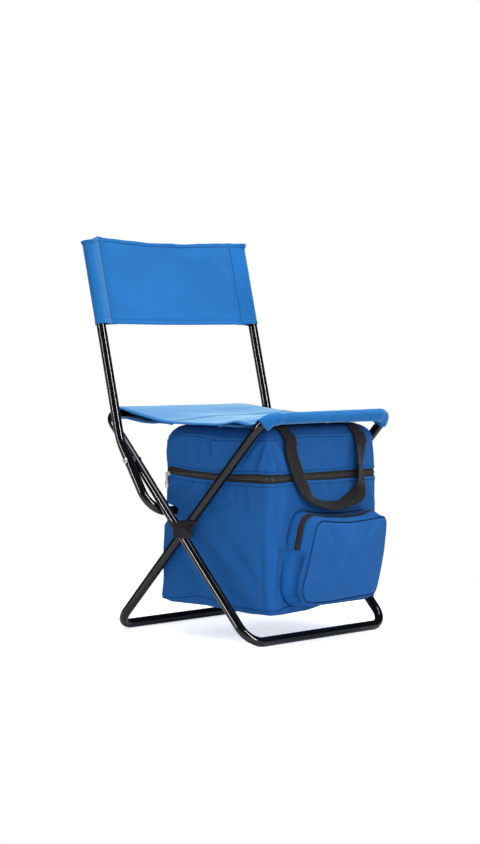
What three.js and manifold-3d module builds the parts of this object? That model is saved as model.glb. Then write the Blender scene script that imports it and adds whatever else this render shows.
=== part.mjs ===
// Folding stool with a backrest and an insulated bag hung under its sling seat.
// Millimetres, +Z up, -Y to the front, +X to the left of a person seated on it.
// The origin is on the floor, straight below the rivets where the legs cross.

import * as THREE from 'three';
import { mergeVertices } from 'three/addons/utils/BufferGeometryUtils.js';
import Module from 'manifold-3d';

const wasm = await Module();
wasm.setup();

// Driving dimensions of the frame
const TUBE_D = 16;
const PIVOT_HEIGHT = 184;
const SEAT_BAR_HEIGHT = 372;
const INNER_HALF_WIDTH = 157;
const LEG_GAP = 1;
const INNER_LEAN = THREE.MathUtils.degToRad(43.3);
const OUTER_LEAN = THREE.MathUtils.degToRad(42.3);
const SEAT_BEND_R = 24;
const FLOOR_BEND_R = 34;
const RUNNING_GAP = 0.3;

// Driving dimensions of the backrest
const BACK_PIVOT_RISE = 112;
const BACK_ARM_LENGTH = 100;
const BACK_BEND_R = 40;
const BACK_ELBOW_R = 90;
const BACK_ELBOW_RISE = 39;
const BACK_LEAN = THREE.MathUtils.degToRad(13.2);
const BACK_UPRIGHT_LENGTH = 340;
const BACK_STOP_GAP = 0.9;

// Driving dimensions of the rivets and end plugs
const RIVET_D = 5;
const RIVET_HEAD_D = 11;
const RIVET_HEAD_T = 2.2;
const WASHER_D = 13;
const DENT_DEPTH = 0.8;
const DENT_D = 15;
const RIVET_DOME_SHARE = 0.55;
const RIVET_RIM_SHARE = 0.4;
const TUBE_WALL = 1.5;
const PLUG_DEPTH = 14;
const PLUG_CAP_T = 2;
const PLUG_DOME_SHARE = 0.6;

// Driving dimensions of the cloth
const CLOTH_T = 1.2;
const SLEEVE_GAP = 0.4;
const SEAT_HALF_WIDTH = 156;
const SEAT_SAG = 7.6;
const SEAT_EDGE_DROOP = 2.5;
const SEAT_FRONT_SLEEVE = 99;
const SEAT_REAR_SLEEVE = 135;
const SEAT_EDGE_POWER = 4;
const SLEEVE_BORE_GAP = 0.08;
const SEAM_T = 2.4;
const PANEL_FOOT_DROP = 138;
const PANEL_HEIGHT = 153;
const PANEL_SEAM_X = 160;
const PANEL_BOW = 6;
const PANEL_BOW_SHARES = [-1, 2];
const PANEL_TOP_SAG = 5;
const PANEL_TIP_DROP = 4;
const BAND_HEIGHT = 26;
const BAND_T = 1.4;
const BAND_RISE = 1.5;
const BAND_GAP = 0.5;

// Driving dimensions of the bag
const BAG_BOTTOM = 52;
const BAG_RIM_RISE = 83;
const BAG_FRONT_Y = -172;
const BAG_REAR_Y = 64;
const BAG_REAR_SPREAD = 12;
const BAG_FRONT_HALF = 136;
const BAG_REAR_HALF = 142;
const BAG_CORNER_R = 11;
const BAG_INNER_CORNER_R = 3.6;
const BAG_WALL = 2.6;
const BAG_EDGE_R = 9;
const BAG_EDGE_SHARE = 0.3;
const BAG_CROSSING_BULGE = 3;
const BAG_DENT_HALF_HEIGHT = 40;
const BAG_BULGE_HALF_DEPTH = 80;
const BAR_TO_BAG = 1;
const LINER_T = 3.6;
const BASE_BOARD_T = 3;
const ZIP_BAND = 13;
const ZIP_TAPE_T = 1.2;
const ZIP_COIL_W = 2.6;
const ZIP_COIL_T = 1.2;
const ZIP_INSET = 1;
const LID_EDGE_DROP = 35;
const LID_RISE = 18;
const LID_LEAN = 6;
const LID_SLOPE = 64;
const LID_FOAM_T = 6;
const HINGE_STRIP_T = 1.2;

// Driving dimensions of the pocket
const POCKET_DEPTH = 42;
const POCKET_WALL = 2;
const POCKET_FRONT_INSET = 7;
const POCKET_ZIP_NEAR = 12;
const POCKET_ZIP_W = 9;
const POCKET_ZIP_SINK = 1.2;
const POCKET_ZIP_REACH = 53;
const POCKET_TOP_DROP = 58;
const POCKET_FOOT_RISE = 16;
const POCKET_HALF_WIDTH = 107;

// Driving dimensions of the webbing handle and the zip hardware
const WEBBING_W = 25;
const WEBBING_T = 2;
const HANDLE_HALF_SPAN = 89;
const HANDLE_DROP = 109;
const HANDLE_STANDOFF = 2;
const HANDLE_JOINT_GAP = 0.5;
const TAB_DROP = 11;
const TAB_FALL = 6;
const SLIDER_LENGTH = 10;
const SLIDER_WIDTH = 8;
const SLIDER_T = 2;
const SLIDER_BRIDGE_T = 0.9;
const SLIDER_BRIDGE_RISE = 1.8;
const PULL_LENGTH = 25;
const PULL_WIDTH = 8;
const PULL_T = 1;
const PULL_EYE_SHARE = 0.36;
const PULL_EYE_WIDTH_SHARE = 0.6;
const SMALL_ZIP_SHARE = 0.75;

// Facets, and the overrun of cuts
const TUBE_SIDES = 16;
const BEND_STEPS = 6;
const ELBOW_STEPS = 5;
const ROUND_SIDES = 24;
const SLEEVE_ARC_STEPS = 10;
const SEAT_CROSS_STEPS = 10;
const PANEL_BOW_STEPS = 8;
const PANEL_RISE_STEPS = 6;
const CORNER_STEPS = 4;
const BAG_FRONT_STEPS = 4;
const BAG_SIDE_STEPS = 6;
const HANDLE_STEPS = 26;
const SLIDER_CURVE_STEPS = 4;
const PULL_CURVE_STEPS = 5;
const MERGE_DISTANCE = 1e-4;
const OVERRUN = 2;

// Derived sizes that several pieces share
const TUBE_R = TUBE_D / 2;
const LEG_PITCH = TUBE_D + LEG_GAP;
const OUTER_HALF_WIDTH = INNER_HALF_WIDTH + LEG_PITCH;
const BACK_HALF_WIDTH = OUTER_HALF_WIDTH + LEG_PITCH;
const LEG_RISE = SEAT_BAR_HEIGHT - PIVOT_HEIGHT;
const BACK_PIVOT_HEIGHT = PIVOT_HEIGHT + BACK_PIVOT_RISE;
const LEG_DROP = PIVOT_HEIGHT - TUBE_R;
const SLEEVE_R = TUBE_R + SLEEVE_GAP;
const FRONT_BAR_Y = -LEG_RISE * Math.tan(INNER_LEAN);
const REAR_BAR_Y = LEG_RISE * Math.tan(OUTER_LEAN);
const BACK_PIVOT_Y = (BACK_PIVOT_HEIGHT - PIVOT_HEIGHT) * Math.tan(OUTER_LEAN);
const BAG_RIM = PIVOT_HEIGHT + BAG_RIM_RISE;
const LID_EDGE = SEAT_BAR_HEIGHT - LID_EDGE_DROP;
const LID_TOP = LID_EDGE + LID_RISE;
const POCKET_TOP = BAG_RIM - POCKET_TOP_DROP;
const POCKET_BOTTOM = BAG_BOTTOM + POCKET_FOOT_RISE;
const POCKET_ZIP_END = POCKET_TOP - POCKET_ZIP_REACH;
const HALF_TURN = Math.PI;
const QUARTER_TURN = Math.PI / 2;
const FULL_TURN = Math.PI * 2;

// The backrest's lower bends meet the rear legs one leg pitch in from the arms. Its arms
// lean away from the legs by just enough to seat the bends behind them.
const bendShortfall = BACK_BEND_R * (1 - Math.sqrt(1 - (1 - LEG_PITCH / BACK_BEND_R) ** 2));
const armSpread = Math.asin((TUBE_D + BACK_STOP_GAP) / (BACK_ARM_LENGTH - bendShortfall));
const ARM_LEAN = OUTER_LEAN - armSpread;
const STOP_BAR_Y = BACK_PIVOT_Y - BACK_ARM_LENGTH * Math.sin(ARM_LEAN);
const STOP_BAR_Z = BACK_PIVOT_HEIGHT - BACK_ARM_LENGTH * Math.cos(ARM_LEAN);

// Colours and finishes
const painted = (color) => new THREE.MeshStandardMaterial({ color, roughness: 0.28, metalness: 0.1 });
const cloth = (color) => new THREE.MeshStandardMaterial({ color, roughness: 0.85, metalness: 0 });
const plated = (color) => new THREE.MeshStandardMaterial({ color, roughness: 0.3, metalness: 0.9 });
const BLACK_PAINT = 0x17171c;
const SEAT_BLUE = 0x3a83d2;
const BAG_BLUE = 0x1f5ca8;
const WEBBING_BLACK = 0x2b2a2c;
const ZIP_BLACK = 0x221f20;
const FOIL_GREY = 0xb9bcc0;
const BOARD_GREY = 0x4a4a4c;
const STEEL_GREY = 0x8d8d90;
const NICKEL = 0xc4c2bd;
const PLUG_BLACK = 0x101012;

// Boolean work

function toSolid(geometry) {
  const bare = geometry.clone();
  for (const name of Object.keys(bare.attributes)) {
    if (name !== 'position') bare.deleteAttribute(name);
  }
  const merged = mergeVertices(bare, MERGE_DISTANCE);
  return new wasm.Manifold(new wasm.Mesh({
    numProp: 3,
    vertProperties: new Float32Array(merged.attributes.position.array),
    triVerts: new Uint32Array(merged.index.array),
  }));
}

function fromSolid(solid) {
  const mesh = solid.getMesh();
  const count = mesh.vertProperties.length / mesh.numProp;
  const positions = new Float32Array(count * 3);
  for (let i = 0; i < count; i += 1) {
    const start = i * mesh.numProp;
    positions.set(mesh.vertProperties.subarray(start, start + 3), i * 3);
  }
  const geometry = new THREE.BufferGeometry();
  geometry.setAttribute('position', new THREE.BufferAttribute(positions, 3));
  geometry.setIndex(new THREE.BufferAttribute(new Uint32Array(mesh.triVerts), 1));
  return geometry;
}

function cut(geometry, ...tools) {
  let solid = toSolid(geometry);
  for (const tool of tools) solid = solid.subtract(toSolid(tool));
  return fromSolid(solid);
}

function join(geometry, ...others) {
  let solid = toSolid(geometry);
  for (const other of others) solid = solid.add(toSolid(other));
  return fromSolid(solid);
}

// Shape work

function circlePoints(radius, sides) {
  const points = [];
  for (let i = 0; i < sides; i += 1) {
    const turn = (i / sides) * FULL_TURN;
    points.push(new THREE.Vector2(radius * Math.cos(turn), radius * Math.sin(turn)));
  }
  return points;
}

function crossCylinder(radius, fromX, toX, y, z) {
  const geometry = new THREE.CylinderGeometry(radius, radius, Math.abs(toX - fromX), ROUND_SIDES);
  geometry.rotateZ(QUARTER_TURN);
  geometry.translate((fromX + toX) / 2, y, z);
  return geometry;
}

// A lathe profile of [radius, length] pairs turned about the X axis
function crossTurned(profile, x, direction, y, z) {
  const points = profile.map(([radius, along]) => new THREE.Vector2(radius, along));
  const geometry = new THREE.LatheGeometry(points, ROUND_SIDES);
  geometry.rotateZ(-QUARTER_TURN * direction);
  geometry.translate(x, y, z);
  return geometry;
}

// Sends a shape drawn in (across, up) and extruded along its depth to chosen world axes
function placeOnAxes(geometry, across, up, along) {
  return geometry.applyMatrix4(new THREE.Matrix4().makeBasis(across, up, along));
}

const X_AXIS = new THREE.Vector3(1, 0, 0);
const Y_AXIS = new THREE.Vector3(0, 1, 0);
const Z_AXIS = new THREE.Vector3(0, 0, 1);

// Joins rings of equal count into one closed skin, with a fan over the first and last ring.
// Quads split along the same slant on the way up and down, so nested skins keep their gap.
function ringLoft(rings) {
  const count = rings[0].length;
  const positions = [];
  const index = [];
  for (const ring of rings) {
    for (const point of ring) positions.push(point.x, point.y, point.z);
  }
  for (let r = 0; r + 1 < rings.length; r += 1) {
    const falling = rings[r + 1][0].z < rings[r][0].z;
    for (let i = 0; i < count; i += 1) {
      const next = (i + 1) % count;
      const [a, b, c, d] = [r * count + i, r * count + next, (r + 1) * count + next, (r + 1) * count + i];
      index.push(...(falling ? [a, b, d, b, c, d] : [a, b, c, a, c, d]));
    }
  }
  const fan = (ring, first, turned) => {
    const centre = ring.reduce((sum, point) => sum.add(point), new THREE.Vector3()).divideScalar(count);
    const hub = positions.length / 3;
    positions.push(centre.x, centre.y, centre.z);
    for (let i = 0; i < count; i += 1) {
      const next = (i + 1) % count;
      index.push(hub, first + (turned ? next : i), first + (turned ? i : next));
    }
  };
  fan(rings[0], 0, true);
  fan(rings[rings.length - 1], (rings.length - 1) * count, false);
  const geometry = new THREE.BufferGeometry();
  geometry.setAttribute('position', new THREE.BufferAttribute(new Float32Array(positions), 3));
  geometry.setIndex(index);
  return geometry;
}

// Tube routes

// A route through stations, with one station at each end of a straight run and a few in each bend
class TubeRoute extends THREE.Curve {
  constructor(stations) {
    super();
    this.stations = stations;
    this.steps = stations.length - 1;
  }

  stationAt(t) {
    return this.stations[Math.round(t * this.steps)];
  }

  getPoint(t) {
    return this.stationAt(t).point.clone();
  }

  getTangent(t) {
    return this.stationAt(t).tangent.clone();
  }

  getPointAt(t) {
    return this.getPoint(t);
  }

  getTangentAt(t) {
    return this.getTangent(t);
  }
}

// Rounds one corner of a route: the stations of its arc, from tangent point to tangent point
function bendStations(before, corner, after, radius, steps) {
  const into = corner.clone().sub(before).normalize();
  const out = after.clone().sub(corner).normalize();
  const turn = into.angleTo(out);
  const reach = radius * Math.tan(turn / 2);
  const start = corner.clone().addScaledVector(into, -reach);
  const side = out.clone().addScaledVector(into, -out.dot(into)).normalize();
  const stations = [];
  for (let i = 0; i <= steps; i += 1) {
    const angle = (turn * i) / steps;
    const point = start.clone()
      .addScaledVector(into, radius * Math.sin(angle))
      .addScaledVector(side, radius * (1 - Math.cos(angle)));
    const tangent = into.clone().multiplyScalar(Math.cos(angle)).addScaledVector(side, Math.sin(angle));
    stations.push({ point, tangent });
  }
  return stations;
}

function sweepTube(stations, radius) {
  const route = new TubeRoute(stations);
  const section = new THREE.Shape(circlePoints(radius, TUBE_SIDES));
  return new THREE.ExtrudeGeometry(section, { steps: route.steps, extrudePath: route });
}

// A closed loop of tube: the sweep's two end faces meet, so only its sides are kept
function sweepLoop(stations, radius) {
  const swept = sweepTube([...stations, stations[0]], radius);
  const sides = swept.groups.find((group) => group.materialIndex === 1);
  const all = swept.attributes.position;
  const kept = all.array.slice(sides.start * 3, (sides.start + sides.count) * 3);
  const geometry = new THREE.BufferGeometry();
  geometry.setAttribute('position', new THREE.BufferAttribute(kept, 3));
  return geometry;
}

// Leg frames, built upright about their crossing and then leaned

function legLoopStations(halfWidth, rise, drop) {
  const corners = [
    [new THREE.Vector3(halfWidth, 0, -drop), FLOOR_BEND_R],
    [new THREE.Vector3(halfWidth, 0, rise), SEAT_BEND_R],
    [new THREE.Vector3(-halfWidth, 0, rise), SEAT_BEND_R],
    [new THREE.Vector3(-halfWidth, 0, -drop), FLOOR_BEND_R],
  ];
  return corners.flatMap(([corner, radius], i) => {
    const before = corners[(i + corners.length - 1) % corners.length][0];
    const after = corners[(i + 1) % corners.length][0];
    return bendStations(before, corner, after, radius, BEND_STEPS);
  });
}

// The dents pressed beside a rivet, and its hole, through both tubes that lie at this half width
function rivetCuts(halfWidth, y, z) {
  const cuts = [];
  for (const side of [-1, 1]) {
    const outside = side * (halfWidth + TUBE_R);
    const inside = side * (halfWidth - TUBE_R);
    const reach = side * OVERRUN;
    cuts.push(crossCylinder(RIVET_D / 2 + RUNNING_GAP, inside - reach, outside + reach, y, z));
    cuts.push(crossCylinder(DENT_D / 2, outside - side * DENT_DEPTH, outside + reach, y, z));
    cuts.push(crossCylinder(DENT_D / 2, inside + side * DENT_DEPTH, inside - reach, y, z));
  }
  return cuts;
}

function legFrame(halfWidth, lean) {
  const loop = sweepLoop(
    legLoopStations(halfWidth, LEG_RISE / Math.cos(lean), LEG_DROP / Math.cos(lean)),
    TUBE_R,
  );
  return cut(loop, ...rivetCuts(halfWidth, 0, 0));
}

// The backrest rivets' place on the outer frame, along its leaned leg
const BACK_PIVOT_ALONG = (BACK_PIVOT_HEIGHT - PIVOT_HEIGHT) / Math.cos(OUTER_LEAN);

function innerLegFrame() {
  return legFrame(INNER_HALF_WIDTH, INNER_LEAN);
}

function outerLegFrame() {
  return cut(legFrame(OUTER_HALF_WIDTH, OUTER_LEAN), ...rivetCuts(OUTER_HALF_WIDTH, 0, BACK_PIVOT_ALONG));
}

// Backrest frame, built in world directions about its own rivets

const armDown = new THREE.Vector3(0, -Math.sin(ARM_LEAN), -Math.cos(ARM_LEAN));
const uprightUp = new THREE.Vector3(0, Math.sin(BACK_LEAN), Math.cos(BACK_LEAN));

function backCorner(side, along) {
  return new THREE.Vector3(side * BACK_HALF_WIDTH, 0, 0).addScaledVector(armDown, along);
}

function backTip(side) {
  return backCorner(side, -BACK_ELBOW_RISE).addScaledVector(uprightUp, BACK_UPRIGHT_LENGTH);
}

function backStations() {
  const left = 1;
  const right = -1;
  const route = [
    backTip(left),
    backCorner(left, -BACK_ELBOW_RISE),
    backCorner(left, BACK_ARM_LENGTH),
    backCorner(right, BACK_ARM_LENGTH),
    backCorner(right, -BACK_ELBOW_RISE),
    backTip(right),
  ];
  const down = uprightUp.clone().negate();
  return [
    { point: route[0], tangent: down },
    ...bendStations(route[0], route[1], route[2], BACK_ELBOW_R, ELBOW_STEPS),
    ...bendStations(route[1], route[2], route[3], BACK_BEND_R, BEND_STEPS),
    ...bendStations(route[2], route[3], route[4], BACK_BEND_R, BEND_STEPS),
    ...bendStations(route[3], route[4], route[5], BACK_ELBOW_R, ELBOW_STEPS),
    { point: route[5], tangent: uprightUp.clone() },
  ];
}

// A turned piece set in the end of a backrest tube, its profile measured outwards from the tube's end
function atBackTip(side, profile) {
  const points = profile.map(([radius, along]) => new THREE.Vector2(radius, along));
  const geometry = new THREE.LatheGeometry(points, TUBE_SIDES);
  const turn = new THREE.Quaternion().setFromUnitVectors(Y_AXIS, uprightUp);
  geometry.applyQuaternion(turn);
  const tip = backTip(side);
  geometry.translate(tip.x, tip.y, tip.z);
  return geometry;
}

function backFrame() {
  const tube = sweepTube(backStations(), TUBE_R);
  const boreR = TUBE_R - TUBE_WALL;
  const bores = [-1, 1].map((side) => atBackTip(side, [
    [0, -PLUG_DEPTH - OVERRUN],
    [boreR, -PLUG_DEPTH - OVERRUN],
    [boreR, OVERRUN],
    [0, OVERRUN],
  ]));
  return cut(tube, ...rivetCuts(BACK_HALF_WIDTH, 0, 0), ...bores);
}

function backPlug(side) {
  const stemR = TUBE_R - TUBE_WALL - RUNNING_GAP;
  const domeR = TUBE_R * PLUG_DOME_SHARE;
  return atBackTip(side, [
    [0, -PLUG_DEPTH],
    [stemR - RUNNING_GAP, -PLUG_DEPTH],
    [stemR, -PLUG_DEPTH + TUBE_WALL],
    [stemR, RUNNING_GAP],
    [TUBE_R, RUNNING_GAP],
    [TUBE_R, RUNNING_GAP + PLUG_CAP_T / 2],
    [domeR, RUNNING_GAP + PLUG_CAP_T],
    [0, RUNNING_GAP + PLUG_CAP_T],
  ]);
}

// Rivets and washers

// A solid rivet along X, with a domed head at each end, seated in the dents of two stacked tubes
function stackRivet(side, innerHalfWidth, y, z) {
  const from = innerHalfWidth - TUBE_R + DENT_DEPTH - RUNNING_GAP;
  const to = innerHalfWidth + LEG_PITCH + TUBE_R - DENT_DEPTH + RUNNING_GAP;
  const headR = RIVET_HEAD_D / 2;
  const domeR = headR * RIVET_DOME_SHARE;
  const rimT = RIVET_HEAD_T * RIVET_RIM_SHARE;
  const length = to - from;
  return crossTurned([
    [0, -RIVET_HEAD_T],
    [domeR, -RIVET_HEAD_T],
    [headR, -rimT],
    [headR, 0],
    [RIVET_D / 2, 0],
    [RIVET_D / 2, length],
    [headR, length],
    [headR, length + rimT],
    [domeR, length + RIVET_HEAD_T],
    [0, length + RIVET_HEAD_T],
  ], side * from, side, y, z);
}

function stackWasher(side, innerHalfWidth, y, z) {
  const from = innerHalfWidth + TUBE_R - DENT_DEPTH + RUNNING_GAP;
  const to = innerHalfWidth + LEG_PITCH - TUBE_R + DENT_DEPTH - RUNNING_GAP;
  const holeR = RIVET_D / 2 + RUNNING_GAP;
  return crossTurned([
    [holeR, 0],
    [WASHER_D / 2, 0],
    [WASHER_D / 2, to - from],
    [holeR, to - from],
    [holeR, 0],
  ], side * from, side, y, z);
}

// Sleeves of cloth round a bar

// The angle at which a line from a point just touches a circle, ahead of the point or behind it
function tangentAngle(point, centre, radius, hand) {
  const away = point.clone().sub(centre);
  return away.angle() + hand * Math.acos(radius / away.length());
}

function arcPoints(centre, radius, from, to, steps) {
  const points = [];
  for (let i = 0; i <= steps; i += 1) {
    const angle = from + ((to - from) * i) / steps;
    points.push(new THREE.Vector2(centre.x + radius * Math.cos(angle), centre.y + radius * Math.sin(angle)));
  }
  return points;
}

// Cloth drawn from a first point round the back of a circle to a second point, as it lies on the circle
function wrapAround(centre, radius, first, second) {
  const from = tangentAngle(first, centre, radius, 1);
  const to = tangentAngle(second, centre, radius, -1);
  const sweep = ((to - from) % FULL_TURN + FULL_TURN) % FULL_TURN;
  return arcPoints(centre, radius, from, from + sweep, SLEEVE_ARC_STEPS);
}

// The section of a sheet whose two ends wrap a bar each and are sewn back to it.
// bars and seams are points of the section, in the order left, right.
function sleevedSection(bars, seams) {
  const [leftBar, rightBar] = bars;
  const [leftSeam, rightSeam] = seams;
  const half = new THREE.Vector2(0, SEAM_T / 2);
  const outerR = SLEEVE_R + CLOTH_T;
  const above = (seam) => seam.clone().add(half);
  const below = (seam) => seam.clone().sub(half);
  const leftWrap = wrapAround(leftBar, outerR, above(leftSeam), below(leftSeam));
  const rightWrap = wrapAround(rightBar, outerR, below(rightSeam), above(rightSeam));
  const underside = [below(leftSeam), below(rightSeam)];
  const topside = [above(rightSeam), above(leftSeam)];
  const outline = [...leftWrap, ...underside, ...rightWrap, ...topside];
  const shape = new THREE.Shape(outline);
  const notch = new THREE.Vector2(SEAM_T, 0);
  const insides = [[leftBar, leftSeam.clone().sub(notch)], [rightBar, rightSeam.clone().add(notch)]];
  shape.holes = insides.map(([bar, sewn]) => new THREE.Path([sewn, ...wrapAround(bar, SLEEVE_R, sewn, sewn)]));
  return shape;
}

function bend(geometry, move) {
  const position = geometry.attributes.position;
  const point = new THREE.Vector3();
  for (let i = 0; i < position.count; i += 1) {
    point.fromBufferAttribute(position, i);
    move(point);
    position.setXYZ(i, point.x, point.y, point.z);
  }
  position.needsUpdate = true;
  return geometry;
}

// How far a value lies between two ends, 1 midway and 0 at and past the ends
function hump(value, from, to) {
  const share = (value - from) / (to - from);
  return share <= 0 || share >= 1 ? 0 : Math.sin(share * HALF_TURN) ** 2;
}

// Seat panel: a sling between the two seat bars

function seatPanel() {
  const sheetZ = SEAT_BAR_HEIGHT - SLEEVE_R + CLOTH_T / 2 - (SEAT_SAG - SLEEVE_R);
  const section = sleevedSection(
    [new THREE.Vector2(FRONT_BAR_Y, SEAT_BAR_HEIGHT), new THREE.Vector2(REAR_BAR_Y, SEAT_BAR_HEIGHT)],
    [
      new THREE.Vector2(FRONT_BAR_Y + SEAT_FRONT_SLEEVE, sheetZ),
      new THREE.Vector2(REAR_BAR_Y - SEAT_REAR_SLEEVE, sheetZ),
    ],
  );
  const geometry = new THREE.ExtrudeGeometry(section, {
    steps: SEAT_CROSS_STEPS,
    depth: SEAT_HALF_WIDTH * 2,
    bevelEnabled: false,
  });
  geometry.translate(0, 0, -SEAT_HALF_WIDTH);
  placeOnAxes(geometry, Y_AXIS, Z_AXIS, X_AXIS);
  bend(geometry, (point) => {
    const between = hump(point.y, FRONT_BAR_Y + TUBE_D, REAR_BAR_Y - TUBE_D);
    const towardsEdge = (point.x / SEAT_HALF_WIDTH) ** SEAT_EDGE_POWER;
    point.z -= SEAT_EDGE_DROOP * between * towardsEdge;
  });
  // the sleeves' ends are open where the bars turn down into the legs
  const clearance = [
    [INNER_HALF_WIDTH, INNER_LEAN, 1],
    [OUTER_HALF_WIDTH, OUTER_LEAN, -1],
  ].map(([halfWidth, lean, sign]) => {
    const stations = legLoopStations(halfWidth, LEG_RISE / Math.cos(lean), LEG_DROP / Math.cos(lean));
    const loop = sweepLoop(stations, SLEEVE_R - SLEEVE_BORE_GAP);
    loop.rotateX(sign * lean);
    loop.translate(0, 0, PIVOT_HEIGHT);
    return loop;
  });
  return cut(geometry, ...clearance);
}

// Back panel: a sleeve over each upright with a slightly bowed sheet between them

function backPanel() {
  const section = sleevedSection(
    [new THREE.Vector2(-BACK_HALF_WIDTH, 0), new THREE.Vector2(BACK_HALF_WIDTH, 0)],
    [new THREE.Vector2(-PANEL_SEAM_X, 0), new THREE.Vector2(PANEL_SEAM_X, 0)],
  );
  // extra points along the sheet let it bow
  const outline = section.getPoints();
  section.curves = [];
  const dense = [];
  outline.forEach((point, i) => {
    const next = outline[(i + 1) % outline.length];
    dense.push(point);
    if (point.distanceTo(next) > PANEL_SEAM_X) {
      for (let k = 1; k < PANEL_BOW_STEPS; k += 1) dense.push(point.clone().lerp(next, k / PANEL_BOW_STEPS));
    }
  });
  section.setFromPoints(dense);
  const geometry = new THREE.ExtrudeGeometry(section, {
    steps: PANEL_RISE_STEPS,
    depth: PANEL_HEIGHT,
    bevelEnabled: false,
  });
  bend(geometry, (point) => {
    const across = hump(point.x, -BACK_HALF_WIDTH, BACK_HALF_WIDTH);
    const rise = point.z / PANEL_HEIGHT;
    const tip = Math.max(0, Math.abs(point.x) - PANEL_SEAM_X) / (BACK_HALF_WIDTH - PANEL_SEAM_X);
    point.y -= PANEL_BOW * across * hump(rise, ...PANEL_BOW_SHARES);
    point.z -= rise * (PANEL_TOP_SAG * across + PANEL_TIP_DROP * Math.min(1, tip));
  });
  // the section's up direction faces the sitter, and the sheet rises along the uprights
  const forward = new THREE.Vector3(0, -Math.cos(BACK_LEAN), Math.sin(BACK_LEAN));
  placeOnAxes(geometry, X_AXIS.clone().negate(), forward, uprightUp);
  const foot = backTip(0).addScaledVector(uprightUp, -PANEL_FOOT_DROP);
  geometry.translate(0, foot.y, foot.z);
  return geometry;
}

// Crossing bands: a loop of webbing drawn round both legs of one side, sewn to the bag.
// It follows the outer leg closely and leaves the inner leg room to fold.

// The point of an ellipse, grown on all sides, that lies furthest out in a direction
function furthest([x, y, halfX, halfY], grow, direction) {
  const [a, b] = [halfX + grow, halfY + grow];
  const reach = Math.hypot(a * direction.x, b * direction.y);
  return new THREE.Vector2(x + (a * a * direction.x) / reach, y + (b * b * direction.y) / reach);
}

function crossingBand(side) {
  const acrossLegs = LEG_PITCH / 2 + TUBE_R + RIVET_HEAD_T;
  const rivet = [INNER_HALF_WIDTH + LEG_PITCH / 2, 0, acrossLegs + RUNNING_GAP * 2, RIVET_HEAD_D];
  const headReach = RIVET_HEAD_D / 2 + RUNNING_GAP;
  const ring = (rise, grow) => {
    const innerShift = Math.abs(rise) * Math.tan(INNER_LEAN);
    const held = [
      [OUTER_HALF_WIDTH, rise * Math.tan(OUTER_LEAN), TUBE_R, TUBE_R / Math.cos(OUTER_LEAN)],
      [INNER_HALF_WIDTH, -innerShift, TUBE_R, TUBE_R / Math.cos(INNER_LEAN)],
      [INNER_HALF_WIDTH, innerShift, TUBE_R, TUBE_R / Math.cos(INNER_LEAN)],
    ];
    if (Math.abs(rise) <= headReach) held.push(rivet);
    return circlePoints(1, ROUND_SIDES).map((direction) => {
      const points = held.map((ellipse) => furthest(ellipse, grow, direction));
      const best = points.reduce((most, point) => (point.dot(direction) > most.dot(direction) ? point : most));
      return new THREE.Vector3(best.x, best.y, PIVOT_HEIGHT + rise);
    });
  };
  const levels = [BAND_RISE - BAND_HEIGHT / 2, -headReach, headReach, BAND_RISE + BAND_HEIGHT / 2];
  const outer = levels.map((rise) => ring(rise, BAND_GAP + BAND_T));
  const inner = levels.map((rise) => ring(rise, BAND_GAP)).reverse();
  const geometry = tubularLoft([...outer, ...inner]);
  if (side > 0) return geometry;
  geometry.applyMatrix4(new THREE.Matrix4().makeScale(-1, 1, 1));
  return flipped(geometry);
}

// Joins rings that close on themselves both ways, such as a band's outside, top, inside and bottom
function tubularLoft(rings) {
  const count = rings[0].length;
  const positions = rings.flatMap((ring) => ring.flatMap((point) => [point.x, point.y, point.z]));
  const index = [];
  rings.forEach((ring, r) => {
    const above = (r + 1) % rings.length;
    for (let i = 0; i < count; i += 1) {
      const next = (i + 1) % count;
      const [a, b, c, d] = [r * count + i, r * count + next, above * count + next, above * count + i];
      index.push(a, b, c, a, c, d);
    }
  });
  const geometry = new THREE.BufferGeometry();
  geometry.setAttribute('position', new THREE.BufferAttribute(new Float32Array(positions), 3));
  geometry.setIndex(index);
  return geometry;
}

function flipped(geometry) {
  const index = geometry.index.array;
  for (let i = 0; i < index.length; i += 3) [index[i + 1], index[i + 2]] = [index[i + 2], index[i + 1]];
  return geometry;
}

// Bag: outlines of one soft box at any height, shared by shell, liner, lid and zip

function bagRearAt(z) {
  const lean = BAG_REAR_SPREAD * Math.max(0, (BAG_RIM - z) / (BAG_RIM - BAG_BOTTOM));
  const rear = BAG_REAR_Y + lean;
  const dentDepth = rear - (STOP_BAR_Y - TUBE_R - BAR_TO_BAG);
  return rear - dentDepth * hump(z, STOP_BAR_Z - BAG_DENT_HALF_HEIGHT, STOP_BAR_Z + BAG_DENT_HALF_HEIGHT);
}

function bagFrontAt(z) {
  const leanBack = LID_LEAN * Math.max(0, (z - BAG_RIM) / (LID_EDGE - BAG_RIM));
  return BAG_FRONT_Y + leanBack;
}

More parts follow.
